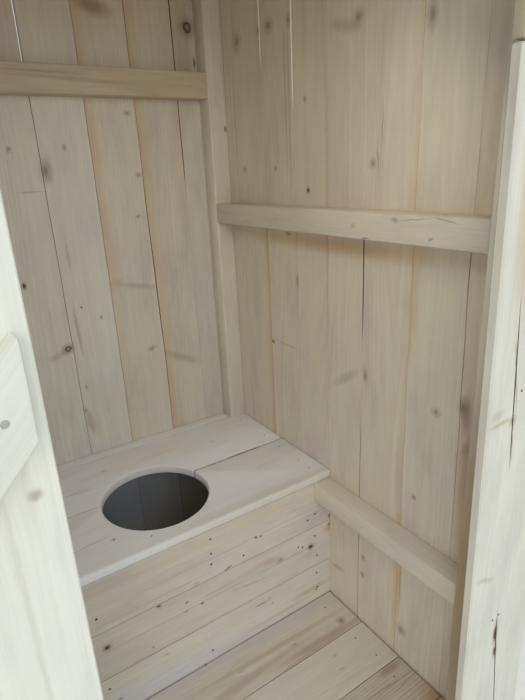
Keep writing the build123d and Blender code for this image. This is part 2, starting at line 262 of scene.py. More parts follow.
def spruce(name, knots=(), stains=(), chance_knots=0.5, figure=0.5, whitened=0.0,
           wash=tint(236, 238, 228), fine=60, stained_to=None):
    """Planed spruce. Knots are (across, along, half_across, half_along, turn, darkness),
    stains are (across, along, half_across, half_along, turn, strength, colour), and lie
    only on the face whose depth through the board is below stained_to."""
    material, tree, shader = new_material(name)
    grain, (across, through, along) = noted(tree, "grain")
    heart_across, heart_depth, seed = noted(tree, "heart")[1]
    lightness, yellowness, liveliness = noted(tree, "tone")[1]
    # The third part of edges, kept in fresh, blends towards near white: painted daylight on the chamfers
    # beside daylight slits, and a paler foot of the back wall in the pit.
    stripe, dirt, fresh = noted(tree, "edges")[1]
    own = add(tree, "CombineXYZ", {0: calc(tree, "MULTIPLY", seed, 3.1), 1: seed, 2: seed}).outputs[0]
    placed = moved(tree, "ADD", grain, own)
    fray = {0: stretched(tree, placed, FRAY_SCALE, 1.0)["Color"], 1: (FRAY_REACH, FRAY_REACH, 0.0),
            2: (-FRAY_REACH / 2, -FRAY_REACH / 2, 0.0)}
    fray = add(tree, "VectorMath", fray, operation="MULTIPLY_ADD").outputs[0]
    surface = moved(tree, "ADD", add(tree, "CombineXYZ", {0: across, 1: along}).outputs[0], fray)
    swell, faint_shade, knot_shade = knot_shades(tree, surface, own, knots, chance_knots)
    late = ring_lines(tree, placed, across, through, heart_across, heart_depth, swell)
    fibre = stretched(tree, placed, FIBRE_SCALE, 2.0, 0.6)[0]
    streak = stretched(tree, placed, (fine, fine, 0.9), 4.0, 0.65)[0]
    broad = stretched(tree, placed, BROAD_SCALE, 4.0, 0.62)[0]

    colour = mixed(tree, ramped(tree, broad, 0.28, 0.5, 0.5, 0.0), PALE_WOOD, PINK_WOOD)
    colour = mixed(tree, ramped(tree, broad, 0.5, 0.72, 0.0, 0.8), colour, GREEN_WOOD)
    ring_strength = calc(tree, "MULTIPLY", calc(tree, "MULTIPLY", late, liveliness), figure)
    ring_strength = calc(tree, "MULTIPLY", ring_strength, ramped(tree, streak, 0.32, 0.66, 0.1, 1.0))
    colour = mixed(tree, ring_strength, colour, LATE_WOOD)
    if whitened:
        colour = mixed(tree, whitened, colour, wash)
    colour = mixed(tree, calc(tree, "MULTIPLY", yellowness, 1 - whitened / 2), colour, YELLOW_WOOD)
    stripe_shade = calc(tree, "MULTIPLY", stripe, ramped(tree, streak, 0.25, 0.6, 0.45, 1.0))
    colour = mixed(tree, stripe_shade, colour, STRIPE_WOOD)
    unstained = colour
    for *spot, strength, stain in stains:
        far = spot_on(tree, surface, *spot)
        colour = mixed(tree, ramped(tree, far, 1.5, 0.2, 0.0, strength), colour, stain)
    if stained_to is not None:
        colour = mixed(tree, calc(tree, "LESS_THAN", through, stained_to), unstained, colour)
    for shade, darker in ((faint_shade, KNOT_SHADOW), (knot_shade, KNOT_RIM), (dirt, JOINT_DIRT)):
        colour = mixed(tree, shade, colour, darker)
    shading = lightness
    for pattern, share in ((fibre, FIBRE_SHADE), (streak, STREAK_SHADE), (broad, BROAD_SHADE)):
        shading = around(tree, pattern, share, shading)
    grey = add(tree, "CombineColor", {0: shading, 1: shading, 2: shading}).outputs[0]
    # Painted light: near white on the chamfers beside daylight slits; the back wall's foot in the pit is made
    # a little paler.
    colour = mixed(tree, fresh, mixed(tree, 1.0, colour, grey, "MULTIPLY"), SLIT_LIGHT_AND_FOOT_WHITE)
    fill(tree, shader, {
        "Base Color": colour,
        "Roughness": ramped(tree, fibre, 0.2, 0.8, 0.55, 0.72),
        "Specular IOR Level": 0.25,
        "Normal": relief(tree, fibre, 0.3, 0.0005),
    })
    return material


def note_vectors(mesh, name, values):
    """Stores one vector for each vertex."""
    attribute = mesh.attributes.new(name, "FLOAT_VECTOR", "POINT")
    attribute.data.foreach_set("vector", [part for value in values for part in value])


FLAT_ANGLE = math.radians(1)
SHARP_ANGLE = math.radians(32)


def smoothed(mesh, angle=SHARP_ANGLE):
    """Shades a mesh smooth between edges sharper than an angle."""
    mesh.shade_smooth()
    mesh.set_sharp_from_angle(angle=angle)


def fitted(mesh, name, material, body, slot, *nodes):
    """A finished piece that rides on a body, in the place of CAD nodes."""
    mesh.name = name
    piece = put(name, mesh)
    piece.data.materials.clear()
    piece.data.materials.append(material)
    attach(piece, body)
    if nodes:
        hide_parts(*nodes)


def islands(work):
    """The loose parts of a mesh, each a list of its vertices, in the order of their centres."""
    left = dict.fromkeys(work.verts)
    parts = []
    while left:
        part = []
        waiting = [left.popitem()[0]]
        while waiting:
            corner = waiting.pop()
            part.append(corner)
            for edge in corner.link_edges:
                other = edge.other_vert(corner)
                if other in left:
                    del left[other]
                    waiting.append(other)
        parts.append(part)

    def centre(part):
        return tuple(round(sum(corner.co[axis] for corner in part) / len(part), 4) for axis in range(3))

    return sorted(parts, key=centre)


def within(lay, point):
    """A point's places across, through and along a lay."""
    arm = point - lay.origin
    return Vector((arm.dot(lay.across), arm.dot(lay.through), arm.dot(lay.along)))


def eased(node, lay, tone, seed, arris, segments):
    """A copy of a CAD node with its arrises taken off, and its grain noted part by part."""
    work = bmesh.new()
    work.from_mesh(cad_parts[node].data)
    bmesh.ops.remove_doubles(work, verts=work.verts[:], dist=1e-5)
    bmesh.ops.dissolve_limit(work, angle_limit=FLAT_ANGLE, verts=work.verts[:], edges=work.edges[:])
    sharp = [edge for edge in work.edges if edge.is_manifold and edge.calc_face_angle() > SHARP_ANGLE]
    bmesh.ops.bevel(work, geom=sharp, offset=arris, segments=segments, profile=0.5, affect="EDGES",
                    clamp_overlap=True)
    chance = random.Random(seed)
    notes = {}
    for part in islands(work):
        spots = {corner: within(lay, corner.co) for corner in part}
        middle = sum(spots.values(), NOWHERE.copy()) / len(part)
        pith = (
            middle.x + chance.uniform(-0.03, 0.03),
            middle.y + chance.choice((-1, 1)) * chance.uniform(0.02, 0.06),
            chance.uniform(1, 40),
        )
        own_tone = (tone[0] * chance.uniform(0.97, 1.03), *tone[1:])
        notes.update({corner: (spot, pith, own_tone) for corner, spot in spots.items()})
    work.verts.index_update()
    kept = [notes[corner] for corner in work.verts]
    mesh = bpy.data.meshes.new(node)
    work.to_mesh(mesh)
    for place, name in enumerate(("grain", "heart", "tone")):
        note_vectors(mesh, name, [note[place] for note in kept])
    work.free()
    smoothed(mesh)
    return mesh


def from_cad(node, lay, tone, seed, arris, material, slot="frame_timber", ending=".timber",
             body="hut", segments=2):
    """A CAD node with its arrises taken off, as the finished piece in its place."""
    mesh = eased(node, lay, tone, seed, arris, segments)
    fitted(mesh, node + ending, material, body, slot, node)


POST_LAY = Lay(NOWHERE, ACROSS_HUT, INTO_HUT, UPWARDS)
CROSS_LAY = Lay(NOWHERE, UPWARDS, INTO_HUT, ACROSS_HUT)
SIDE_LAY = Lay(NOWHERE, UPWARDS, ACROSS_HUT, INTO_HUT)
SIDE_LAY_ASIDE = Lay(ASIDE, UPWARDS, ACROSS_HUT, INTO_HUT)
FLAT_LAY = Lay(NOWHERE, INTO_HUT, UPWARDS, ACROSS_HUT)
SILL_ARRIS = 0.0025
BAR_ARRIS = 0.0028
BOARD_ARRIS = 0.002

SMUDGE = tint(158, 140, 118)
GREY_SMUDGE = tint(150, 146, 138)
ORANGE = tint(222, 172, 104)
BROWN_PATCH = tint(172, 138, 100)
# Painted shade: black for cracks and holes that stand open in the wood.
CRACK_SHADE = tint(34, 24, 18)
frame_wood = spruce(
    "planed_bar_spruce",
    knots=(
        (408.5, 1285, 2, 2, 0, 0.6),
    ),
    stains=(
        (452.5, 1502, 4.2, 8.5, 0, 1.0, KNOT_RIM), (452.5, 1502, 2.2, 5.2, 0, 1.0, LATE_WOOD),
        (1278.4, -260, 5, 9, 0, 0.4, KNOT_SHADOW), (1259.8, -142, 6, 8, 0, 0.25, KNOT_SHADOW),
        (1281.5, -310, 1.2, 45, 6, 0.6, BROWN_PATCH), (1284, -380, 1.2, 30, -10, 0.7, BROWN_PATCH),
        (1247.5, -349, 3, 6, 20, 0.7, SMUDGE), (1236, -180, 1.2, 12, 5, 0.8, CRACK_SHADE),
        (1617, 50, 6, 160, 2, 0.35, SMUDGE), (1632, -50, 3, 100, 1, 0.4, SMUDGE),
        # Painted light: the rear right post's inner face, which faces away from the doorway, is painted near
        # white.
        (402.5, 1150, 5, 500, 0, 0.8, tint(252, 245, 230)),
    ),
    chance_knots=0.15,
    figure=0.2,
    fine=110,
)
for seed, (node, lay, tone) in enumerate((
    ("sill_front", CROSS_LAY, (0.9, 0.15, 1.0)),
    ("sill_rear", CROSS_LAY, (0.9, 0.1, 1.0)),
    ("sill_left", SIDE_LAY, (0.9, 0.1, 1.0)),
    ("sill_right", SIDE_LAY, (0.88, 0.15, 1.0)),
    ("bench_bearer", CROSS_LAY, (0.92, 0.1, 1.0)),
)):
    from_cad(node, lay, tone, seed, SILL_ARRIS, frame_wood)

# Corner posts and the bars between them. Two plates lie on the posts, rails run from post
# to post behind the boards, and a header with a stop batten closes the doorway's top.
# The front right post's inner face is painted near white above, as painted light, and is darker and browner
# below.
post_wood = spruce(
    "front_post_spruce",
    stains=(
        # Painted light above on the front right post's inner face; darker and browner below.
        (402.5, 1270, 8, 340, 0, 0.9, tint(252, 249, 242)),
        (402.5, 500, 20, 420, 0, 0.75, tint(192, 168, 132)),
    ),
    chance_knots=0.15,
    figure=0.2,
    fine=110,
)
for seed, (node, tone) in enumerate((
    ("post_front_left", (0.95, 0.2, 1.0)),
    ("post_front_right", (0.93, 0.2, 0.8)),
), start=10):
    from_cad(node, POST_LAY, tone, seed, BAR_ARRIS, post_wood)
for seed, (node, lay, tone) in enumerate((
    ("post_rear_left", POST_LAY, (0.97, 0.15, 0.9)),
    ("post_rear_right", POST_LAY, (0.86, 0.06, 0.8)),
    ("plate_front", CROSS_LAY, (0.95, 0.2, 1.0)),
    ("plate_rear", CROSS_LAY, (0.95, 0.2, 1.0)),
    ("mid_rail_left", SIDE_LAY_ASIDE, (0.98, 0.1, 0.9)),
    ("mid_rail_right", SIDE_LAY, (0.97, 0.05, 0.6)),
    ("seat_rail_left", SIDE_LAY_ASIDE, (0.98, 0.1, 0.9)),
    ("seat_rail_right", SIDE_LAY, (1.0, 0.05, 0.6)),
    ("door_stop", CROSS_LAY, (0.97, 0.1, 1.0)),
    ("upper_rail_rear", CROSS_LAY, (0.79, 0.5, 1.6)),
    ("door_header", CROSS_LAY, (0.95, 0.15, 1.0)),
), start=12):
    from_cad(node, lay, tone, seed, BAR_ARRIS, frame_wood)

# Floor boards. They run across the hut on the sills, planed, with open joints and a gap
# along the walls, and are nailed through their faces.
Seam = namedtuple("Seam", "line gaps before after dirt bare crack")
JOINT = 0.0006
STATION_STEP = 0.045
EDGE_SWAY = 0.0005
EDGE_WAVES = 6
CRACK_ARRIS = 0.00005
SLIT_LIGHT_FADE = 0.0003
MOST_SUNK = 0.0006
FOOT_PALLOR = 0.2
FLAT_PARTS = (0.1, 0.22, 0.36, 0.64, 0.78, 0.9)


def level_at(points, place):
    """The value at a place of a line through (place, value) points, level beyond its ends."""
    if not points:
        return 0.0
    return float(numpy.interp(place, [point[0] for point in points], [point[1] for point in points]))


def leaning(line, *gaps, before=(), after=(), dirt=((0.0, 0.5),), bare=(), crack=False):
    """A seam along (along, across) points. Its gaps are (along, width) pairs, or the usual
    joint. Pairs of (along, strength) give the yellow stripes before and after it and the
    dirt in it, and the pairs for the slit light give the width of the chamfer after it that
    is painted near white, as painted daylight through the slit. A crack parts one board."""
    return Seam(line, gaps or ((0.0, JOINT),), before, after, dirt, bare, crack)


def straight(position, *gaps, **options):
    """A seam at one position."""
    return leaning(((0.0, position),), *gaps, **options)


def evenly(start, end, count):
    """The seams of so many boards of one width."""
    return [straight(start + (end - start) * number / count) for number in range(count + 1)]


def at(lay, across, through, along):
    """The point at a place in a lay."""
    return lay.origin + lay.across * across + lay.through * through + lay.along * along


def outline(left, right, near, far, left_arris, right_arris, slit_chamfer):
    """The outline of a board between its edges and its faces, with a first chamfer that is widened where slit
    light is painted.
    """
    flats = [left + left_arris]
    flats += [left + part * (right - left) for part in FLAT_PARTS]
    flats += [right - right_arris]
    corners = [(left + slit_chamfer, near), (left + slit_chamfer + SLIT_LIGHT_FADE, near)]
    corners += [(flat, near) for flat in flats[1:]]
    corners += [(right, near + right_arris), (right, far - right_arris)]
    corners += [(flat, far) for flat in flats[::-1]]
    return corners + [(left, far - left_arris), (left, near + slit_chamfer)]


def skin(first, turn, rings, flip):
    """The faces of a bar through rings of so many corners each, with both ends closed."""
    last = first + (rings - 1) * turn
    sides = []
    for lower in range(first, last, turn):
        for corner in range(turn):
            ahead = (corner + 1) % turn
            sides.append((lower + corner, lower + ahead, lower + turn + ahead, lower + turn + corner))
    sides.append(tuple(range(first, first + turn))[::-1])
    sides.append(tuple(range(last, last + turn)))
    return [side[::-1] if flip else side for side in sides]


def laid_boards(lay, seams, faces, low, high, tones, seed, arris=0.001, stripe=0.034,
                paler_below=-math.inf):
    """Boards between seams, each a bar with its arrises taken off whose edges waver. High is
    where they end along the lay, or a function that gives this for any place across."""
    chance = random.Random(seed)
    top_at = high if callable(high) else lambda across: high
    flip = lay.across.cross(lay.through).dot(lay.along) < 0
    waves = [(chance.uniform(3, 7), chance.uniform(0, 6.28)) for _ in seams]
    middle_depth = sum(faces) / 2
    last_seam = len(seams) - 1
    corners, sides = [], []
    notes = {"grain": [], "heart": [], "tone": [], "edges": []}
    board = -1

    def edge_at(index, along, side):
        """The edge of a board at a seam."""
        seam = seams[index]
        outer = index in (0, last_seam)
        pace, start = waves[index]
        sway = 0.0 if outer or seam.crack else EDGE_SWAY * math.sin(pace * along * EDGE_WAVES + start)
        gap = 0.0 if outer else level_at(seam.gaps, along)
        return level_at(seam.line, along) + sway + side * gap / 2

    for index, (seam, next_seam) in enumerate(zip(seams, seams[1:])):
        line, next_line = level_at(seam.line, 0), level_at(next_seam.line, 0)
        middle = (line + next_line) / 2
        if not seam.crack:
            board += 1
            depth = chance.choice((-1, 1)) * chance.uniform(0.03, 0.075)
            pith_across = middle + chance.uniform(-0.6, 0.6) * (next_line - line)
            pith = (pith_across, middle_depth + depth, chance.uniform(1, 60))
            own_tone = tones[board % len(tones)]
            sunk = chance.uniform(0.0, MOST_SUNK)
        length = top_at(middle) - low
        count = max(2, int(length / STATION_STEP))
        stations = [0.0, arris / length] + [number / count for number in range(1, count)]
        stations += [1 - arris / length, 1.0]
        left_arris = CRACK_ARRIS if seam.crack else arris
        right_arris = CRACK_ARRIS if next_seam.crack else arris
        first = len(corners)
        for share in stations:
            inset = arris if share in (0.0, 1.0) else 0.0
            along = low + share * length
            left = edge_at(index, along, 1) + inset
            right = edge_at(index + 1, along, -1) - inset
            near, far = faces[0] + sunk + inset, faces[1] - sunk - inset
            slit_chamfer = max(left_arris, level_at(seam.bare, along))
            left_stripe, right_stripe = level_at(seam.after, along), level_at(next_seam.before, along)
            soil = {
                left: level_at(seam.dirt, along) if index else 0.0,
                right: level_at(next_seam.dirt, along) if index + 1 < last_seam else 0.0,
            }
            ring = outline(left, right, near, far, left_arris, right_arris, slit_chamfer)
            for across, through in ring:
                here = low + share * (top_at(across) - low)
                from_left = left_stripe * max(0.0, 1 - (across - left) / stripe)
                from_right = right_stripe * max(0.0, 1 - (right - across) / stripe)
                # Painted light: the chamfer beside a daylight slit is marked to be painted near white.
                fresh = 1.0 if slit_chamfer > left_arris and across <= left + slit_chamfer else 0.0
                # The back wall's inner face below the given height, inside the pit, is made a little paler.
                if here < paler_below and through < middle_depth:
                    fresh = FOOT_PALLOR
                corners.append(at(lay, across, through, here))
                notes["grain"].append((across, through, here))
                notes["heart"].append(pith)
                notes["tone"].append(own_tone)
                notes["edges"].append((max(from_left, from_right), soil.get(across, 0.0), fresh))
        sides += skin(first, len(ring), len(stations), flip)
    mesh = bpy.data.meshes.new("boards")
    mesh.from_pydata(corners, [], sides)
    mesh.update()
    for name, values in notes.items():
        note_vectors(mesh, name, values)
    return mesh


def boarded(node, wood, slot, *meshes, body="hut"):
    """Meshes of boards as the finished piece in the place of a CAD node."""
    mesh = meshes[0]
    if len(meshes) > 1:
        work = bmesh.new()
        for part in meshes:
            work.from_mesh(part)
        mesh = bpy.data.meshes.new(node)
        work.to_mesh(mesh)
        work.free()
        for part in meshes:
            bpy.data.meshes.remove(part)
    fitted(mesh, node + ".boards", wood, body, slot, node)


def node_range(node, axis):
    """Lowest and highest value of a CAD node along X, Y or Z."""
    low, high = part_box(node)
    return low["XYZ".index(axis)], high["XYZ".index(axis)]


def span(node, direction, origin=NOWHERE):
    """Lowest and highest place of a CAD node's corners along a direction."""
    places = [(corner.co - origin).dot(direction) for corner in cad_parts[node].data.vertices]
    return min(places), max(places)


floor_wood = spruce(
    "floor_spruce",
    knots=(
        (-102, 409, 7, 8, 0, 0.5),
    ),
    stains=(
        (-122, 330, 13, 180, 2, 0.45, BROWN_PATCH), (-100, 120, 14, 200, -3, 0.35, BROWN_PATCH),
        (-66, 200, 10, 240, 2, 0.3, BROWN_PATCH), (-10, 250, 30, 500, 0, 0.9, tint(224, 217, 214)),
        (-72, 85, 4, 10, 0, 0.35, SMUDGE), (-88, 250, 4, 8, 0, 0.5, SMUDGE),
        (-180, 318, 4, 8, 0, 0.5, SMUDGE), (-222, 308, 4, 9, 0, 0.5, SMUDGE),
        (-200, 200, 30, 300, 3, 0.4, tint(222, 214, 212)), (-295, 405, 12, 40, 0, 0.55, BROWN_PATCH),
        (-327, 360, 2, 100, 3, 0.6, SMUDGE), (-345, 420, 1.6, 60, -5, 0.5, SMUDGE),
        (-415, 450, 30, 35, 0, 0.7, ORANGE), (-135, 300, 4, 140, 0, 0.5, BROWN_PATCH),
    ),
    chance_knots=0.1,
    figure=0.5,
)
floor_left, floor_right = node_range("floor", "X")
floor_under, floor_top = node_range("floor", "Z")
floor_front, floor_back = node_range("floor", "Y")
post_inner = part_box("post_front_right")[0].x
post_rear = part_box("post_front_right")[1].y
POST_CLEAR = 0.004
floor_seams = [straight(post_rear + POST_CLEAR)]
floor_seams += [straight(seam, (0.0, 0.0014)) for seam in (-0.4205, -0.2828, -0.1407, 0.0025)]
floor_seams += [straight(floor_back)]
floor_tones = (
    (0.84, 0.08, 1.0), (0.84, 0.1, 1.1), (0.99, -0.02, 0.4), (0.94, 0.02, 0.4), (0.9, 0.03, 0.6),
)
floor_faces = (floor_under, floor_top)
between_walls = laid_boards(FLAT_LAY, floor_seams, floor_faces, floor_left, floor_right, floor_tones, 31)
between_posts = laid_boards(
    FLAT_LAY, [straight(floor_front), straight(post_rear + POST_CLEAR / 2)], floor_faces,
    -post_inner + POST_CLEAR, post_inner - POST_CLEAR, ((0.93, 0.1, 0.6),), 32,
)
boarded("floor", floor_wood, "floor_boards", between_walls, between_posts)

# Back wall. Upright boards about 136 mm wide, nailed to the bars from outside. They have
# shrunk: one joint stands open in its middle, and one lets daylight in under the roof.
WALL_LAY = POST_LAY
FACE_DEPTH = 0.002
wall_foot, back_top = node_range("back_wall", "Z")
back_face, back_outside = node_range("back_wall", "Y")
wall_left, wall_right = node_range("back_wall", "X")
back_wood = spruce(
    "back_wall_spruce",
    knots=(
        (382, 1772, 13, 14, 0, 0.8), (-67, 1405, 8, 15, 0, 0.5), (-8, 1462, 3.5, 5, 0, 0.45),
        (-145, 1460, 4, 5, 0, 0.5), (175, 1548, 6, 4, 0, 0.5), (188, 1385, 5, 4, 0, 0.5),
        (172, 1270, 5, 3, 0, 0.4), (-88, 915, 10, 8, 20, 0.75), (-172, 1115, 4, 6, 0, 0.7),
        (-32, 1030, 1.6, 2.2, 0, 0.75), (165, 860, 8, 5, 10, 0.5), (-70, 712, 3, 6, 0, 0.5),
        (-55, 785, 3, 6, 0, 0.4), (20, 990, 3, 4, 0, 0.3),
    ),
    stains=(
        (396, 1685, 2.6, 16, 0, 1.0, CRACK_SHADE), (80, 1083, 22, 14, 0, 0.25, SMUDGE),
        (150, 1065, 55, 9, -12, 0.35, SMUDGE), (265, 806, 68, 13, -28, 0.38, SMUDGE),
        (-52, 965, 5, 75, 2, 0.55, SMUDGE), (-50, 975, 2.2, 60, 2, 0.5, PALE_WOOD),
        (-120, 900, 28, 10, 12, 0.35, SMUDGE), (-60, 670, 11, 40, 6, 0.5, SMUDGE),
        (-58, 670, 6, 30, 6, 0.5, PINK_WOOD), (-60, 1410, 14, 35, 0, 0.35, GREY_SMUDGE),
        (-45, 1190, 4, 50, 0, 0.3, SMUDGE), (-110, 1355, 35, 1.8, 0, 0.5, SMUDGE),
        (115, 1800, 50, 22, -14, 0.85, tint(132, 110, 84)),
        # Painted shade: the top of the wall, and a strip by the far right corner, are darker and warmer.
        (0, 1850, 600, 160, 0, 0.45, tint(198, 172, 138)),
        (360, 1720, 30, 160, 0, 0.4, tint(190, 160, 122)),
        # The back wall's foot in the pit is made paler and bluer.
        (-60, 380, 350, 160, 0, 0.9, tint(196, 210, 230)),
    ),
    chance_knots=0.0,
    figure=0.24,
    whitened=0.35,
    wash=tint(226, 230, 232),
    stained_to=back_face + FACE_DEPTH,
)
back_seams = [
    straight(wall_left),
    straight(-0.347, after=((0.7, 0.0), (1.5, 0.3))),
    straight(-0.211, (0.7, 0.0004), (1.3, 0.0006), (1.8, 0.0005), dirt=((0.6, 0.4), (1.3, 0.6), (1.7, 0.4))),
    straight(-0.0742, (0.6, 0.0004), (0.9, 0.0006), (1.56, 0.0007), (1.66, 0.004), (1.9, 0.0052),
             dirt=((0.6, 0.4), (1.0, 0.6), (1.6, 0.5), (1.66, 0.0))),
    straight(0.0605, (0.6, 0.0003), (1.3, 0.0005), (1.9, 0.0004), dirt=((0.0, 0.35),),
             after=((0.8, 0.25), (1.06, 0.3), (1.09, 0.6), (1.58, 0.75), (1.66, 0.6), (1.85, 0.25))),
    leaning(((0.6, 0.206), (0.84, 0.207), (1.3, 0.2005), (1.9, 0.1995)),
            (0.56, 0.0006), (0.83, 0.0011), (1.05, 0.002), (1.29, 0.0008), (1.6, 0.0004), (1.9, 0.001),
            after=((0.56, 0.7), (0.85, 0.5), (1.0, 0.4), (1.3, 0.6), (1.5, 0.8), (1.85, 0.5)),
            dirt=((0.56, 0.4), (0.82, 0.9), (1.3, 1.0), (1.4, 0.5), (1.6, 0.4), (1.9, 0.8))),
    straight(0.3333, (0.6, 0.0002), (1.33, 0.0002), (1.42, 0.0019), (1.58, 0.001), (1.8, 0.0022),
             before=((1.2, 0.0), (1.5, 0.35), (1.8, 0.3)), dirt=((1.33, 0.05), (1.37, 0.9), (1.9, 1.0))),
    straight(wall_right),
]
back_tones = (
    (0.97, 0.05, 1.2), (0.98, 0.03, 1.2), (0.98, 0.0, 1.1), (0.97, -0.05, 0.9), (0.93, 0.2, 1.2),
    (0.87, 0.25, 1.1), (0.84, 0.18, 1.0),
)
boarded("back_wall", back_wood, "wall_boards", laid_boards(
    WALL_LAY, back_seams, (back_face, back_outside), wall_foot, back_top, back_tones, 40, paler_below=0.52,
))

# Side walls. The same boards, set upright on the sides of the frame and cut along the
# roof's slope at their tops.
SIDE_WALL_LAY = Lay(NOWHERE, INTO_HUT, ACROSS_HUT, UPWARDS)


def sloped_top(node):
    """The height of a wall's top above any place between the front and the back."""
    corners = [corner.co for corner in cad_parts[node].data.vertices]
    near, far = node_range(node, "Y")
    near_top = max(corner.z for corner in corners if corner.y < near + 0.001)
    far_top = max(corner.z for corner in corners if corner.y > far - 0.001)
    return lambda across: near_top + (far_top - near_top) * (across - near) / (far - near)


right_faces = node_range("right_wall", "X")
right_wood = spruce(
    "right_wall_spruce",
    knots=(
        (390, 1715, 12, 12, 0, 0.5), (280, 1720, 6, 8, 0, 0.5), (235, 1722, 11, 9, 0, 0.5),
        (150, 1715, 5, 8, 0, 0.5), (382, 1385, 5, 5, 0, 0.25), (225, 1385, 3.5, 3.5, 0, 0.45),
        (92, 1538, 4, 4, 0, 0.4), (85, 1328, 5, 5, 0, 0.95), (-90, 1668, 10, 9, 0, 0.35),
        (-278, 1630, 7, 14, 0, 0.45), (-140, 1385, 5, 6, 0, 0.4), (175, 1215, 7, 3, 0, 0.5),
        (138, 1085, 4, 11, 0, 0.5), (268, 882, 5, 3, 0, 0.8), (-130, 893, 5, 9, 0, 0.45),
        (-345, 875, 6.5, 6, 0, 0.5), (-408, 910, 6, 12, 0, 0.5), (-300, 635, 4, 5, 0, 0.3),
        (-135, 345, 5, 6, 0, 0.4), (-135, 285, 5, 6, 0, 0.35), (-283, 210, 8, 10, 0, 0.4),
    ),
    stains=(
        (-260, 400, 14, 160, 0, 0.4, ORANGE), (-270, 360, 4, 100, 0, 0.45, BROWN_PATCH),
        # Painted shadow: the warm band at 1.2 m, the second stain on the next line, is the mid rail's shadow
        # on the wall.
        (-430, 760, 20, 180, 0, 0.45, BROWN_PATCH), (-20, 1200, 360, 22, 0, 0.75, tint(206, 176, 130)),
        # Painted shade: the wall is darker and warmer at its top towards the back.
        (150, 1800, 500, 200, 0, 0.35, tint(196, 170, 134)),
        (80, 1580, 320, 300, 0, 0.42, tint(197, 189, 174)), (-330, 1600, 140, 400, 0, 0.5, GREEN_WOOD),
        (-418, 900, 12, 40, 0, 0.6, tint(140, 124, 104)), (-425, 820, 10, 20, 20, 0.4, GREY_SMUDGE),
        (-30, 790, 35, 50, 30, 0.5, PALE_WOOD), (-60, 865, 55, 12, -35, 0.35, SMUDGE),
        (-30, 235, 30, 8, -10, 0.35, SMUDGE), (-40, 190, 35, 35, 0, 0.4, PALE_WOOD),
        (-165, 1460, 1.4, 50, 1, 0.6, SMUDGE), (-155, 1390, 1.4, 35, -7, 0.6, SMUDGE),
        (-50, 1660, 50, 12, 16, 0.4, SMUDGE), (200, 890, 60, 2, 2, 0.4, SMUDGE),
        (10, 1300, 3.5, 380, 0, 0.3, SMUDGE), (155, 1500, 4, 200, 0, 0.35, SMUDGE),
        (170, 1550, 3, 180, 0, 0.35, SMUDGE), (420, 1500, 4, 250, 0, 0.3, SMUDGE),
        (440, 1600, 3, 180, 0, 0.3, SMUDGE), (-400, 1200, 20, 10, 0, 0.3, STRIPE_WOOD),
    ),
    chance_knots=0.0,
    figure=0.2,
    stained_to=right_faces[0] + FACE_DEPTH,
)
side_front, side_back = node_range("right_wall", "Y")
right_seams = [
    straight(side_front),
    leaning(((0.2, -0.412), (0.75, -0.406), (1.15, -0.397), (1.9, -0.396)),
            (0.5, 0.0002), (0.8, 0.0003), (0.95, 0.0007), (1.22, 0.0006), (1.27, 0.0002),
            dirt=((0.5, 0.15), (0.9, 0.6), (1.22, 0.6), (1.28, 0.15), (1.6, 0.1))),
    straight(-0.261, (0.2, 0.0007), (1.2, 0.0004), (1.9, 0.0005),
             before=((0.95, 0.0), (1.05, 0.7), (1.25, 0.8), (1.3, 0.1)),
             after=((0.2, 0.3), (0.6, 0.35), (1.25, 0.2), (1.3, 0.5), (1.7, 0.55), (1.9, 0.35)),
             dirt=((0.0, 0.25),)),
    straight(-0.117, (0.2, 0.0006), (0.36, 0.0008), (0.45, 0.002), (0.5, 0.0008), (0.7, 0.0012),
             (0.82, 0.0003), (0.97, 0.0002), (1.03, 0.0022), (1.22, 0.0032), (1.3, 0.0003), (1.9, 0.0004),
             dirt=((0.2, 0.7), (0.7, 0.8), (0.8, 0.2), (0.97, 0.3), (1.03, 1.0), (1.22, 1.0), (1.3, 0.15))),
    straight(0.012, (0.2, 0.0004), (1.9, 0.0005), after=((0.6, 0.0), (1.0, 0.2), (1.9, 0.2)),
             dirt=((0.0, 0.3),)),
    # Two joints near the top let daylight through; the chamfer beside each is painted near white as painted
    # daylight.
    straight(0.139, (0.2, 0.0004), (1.3, 0.0006), (1.48, 0.0008), (1.53, 0.002), (1.75, 0.003), (1.9, 0.004),
             dirt=((1.3, 0.4), (1.5, 0.2), (1.52, 0.0)), bare=((1.5, 0.0), (1.53, 0.0018), (1.9, 0.0022))),
    straight(0.2755, (0.5, 0.0004), (1.3, 0.0006), (1.62, 0.0008), (1.67, 0.002), (1.95, 0.003),
             before=((1.25, 0.0), (1.3, 0.5), (1.8, 0.4)), after=((0.56, 0.9), (1.2, 0.9), (1.3, 0.1)),
             dirt=((1.3, 0.3), (1.63, 0.2), (1.66, 0.0)), bare=((1.63, 0.0), (1.66, 0.0013), (1.95, 0.0016))),
    straight(0.409, (0.5, 0.0006), (1.9, 0.0006)),
    straight(side_back),
]
right_tones = (
    (1.05, 0.16, 0.8), (1.07, 0.06, 0.8), (1.07, 0.09, 0.8), (1.06, 0.08, 0.8), (1.05, 0.1, 0.9),
    (1.01, 0.09, 1.1), (0.98, 0.1, 1.0), (0.98, 0.07, 0.9),
)
boarded("right_wall", right_wood, "wall_boards", laid_boards(
    SIDE_WALL_LAY, right_seams, right_faces, wall_foot, sloped_top("right_wall"), right_tones, 50,
    stripe=0.018,
))

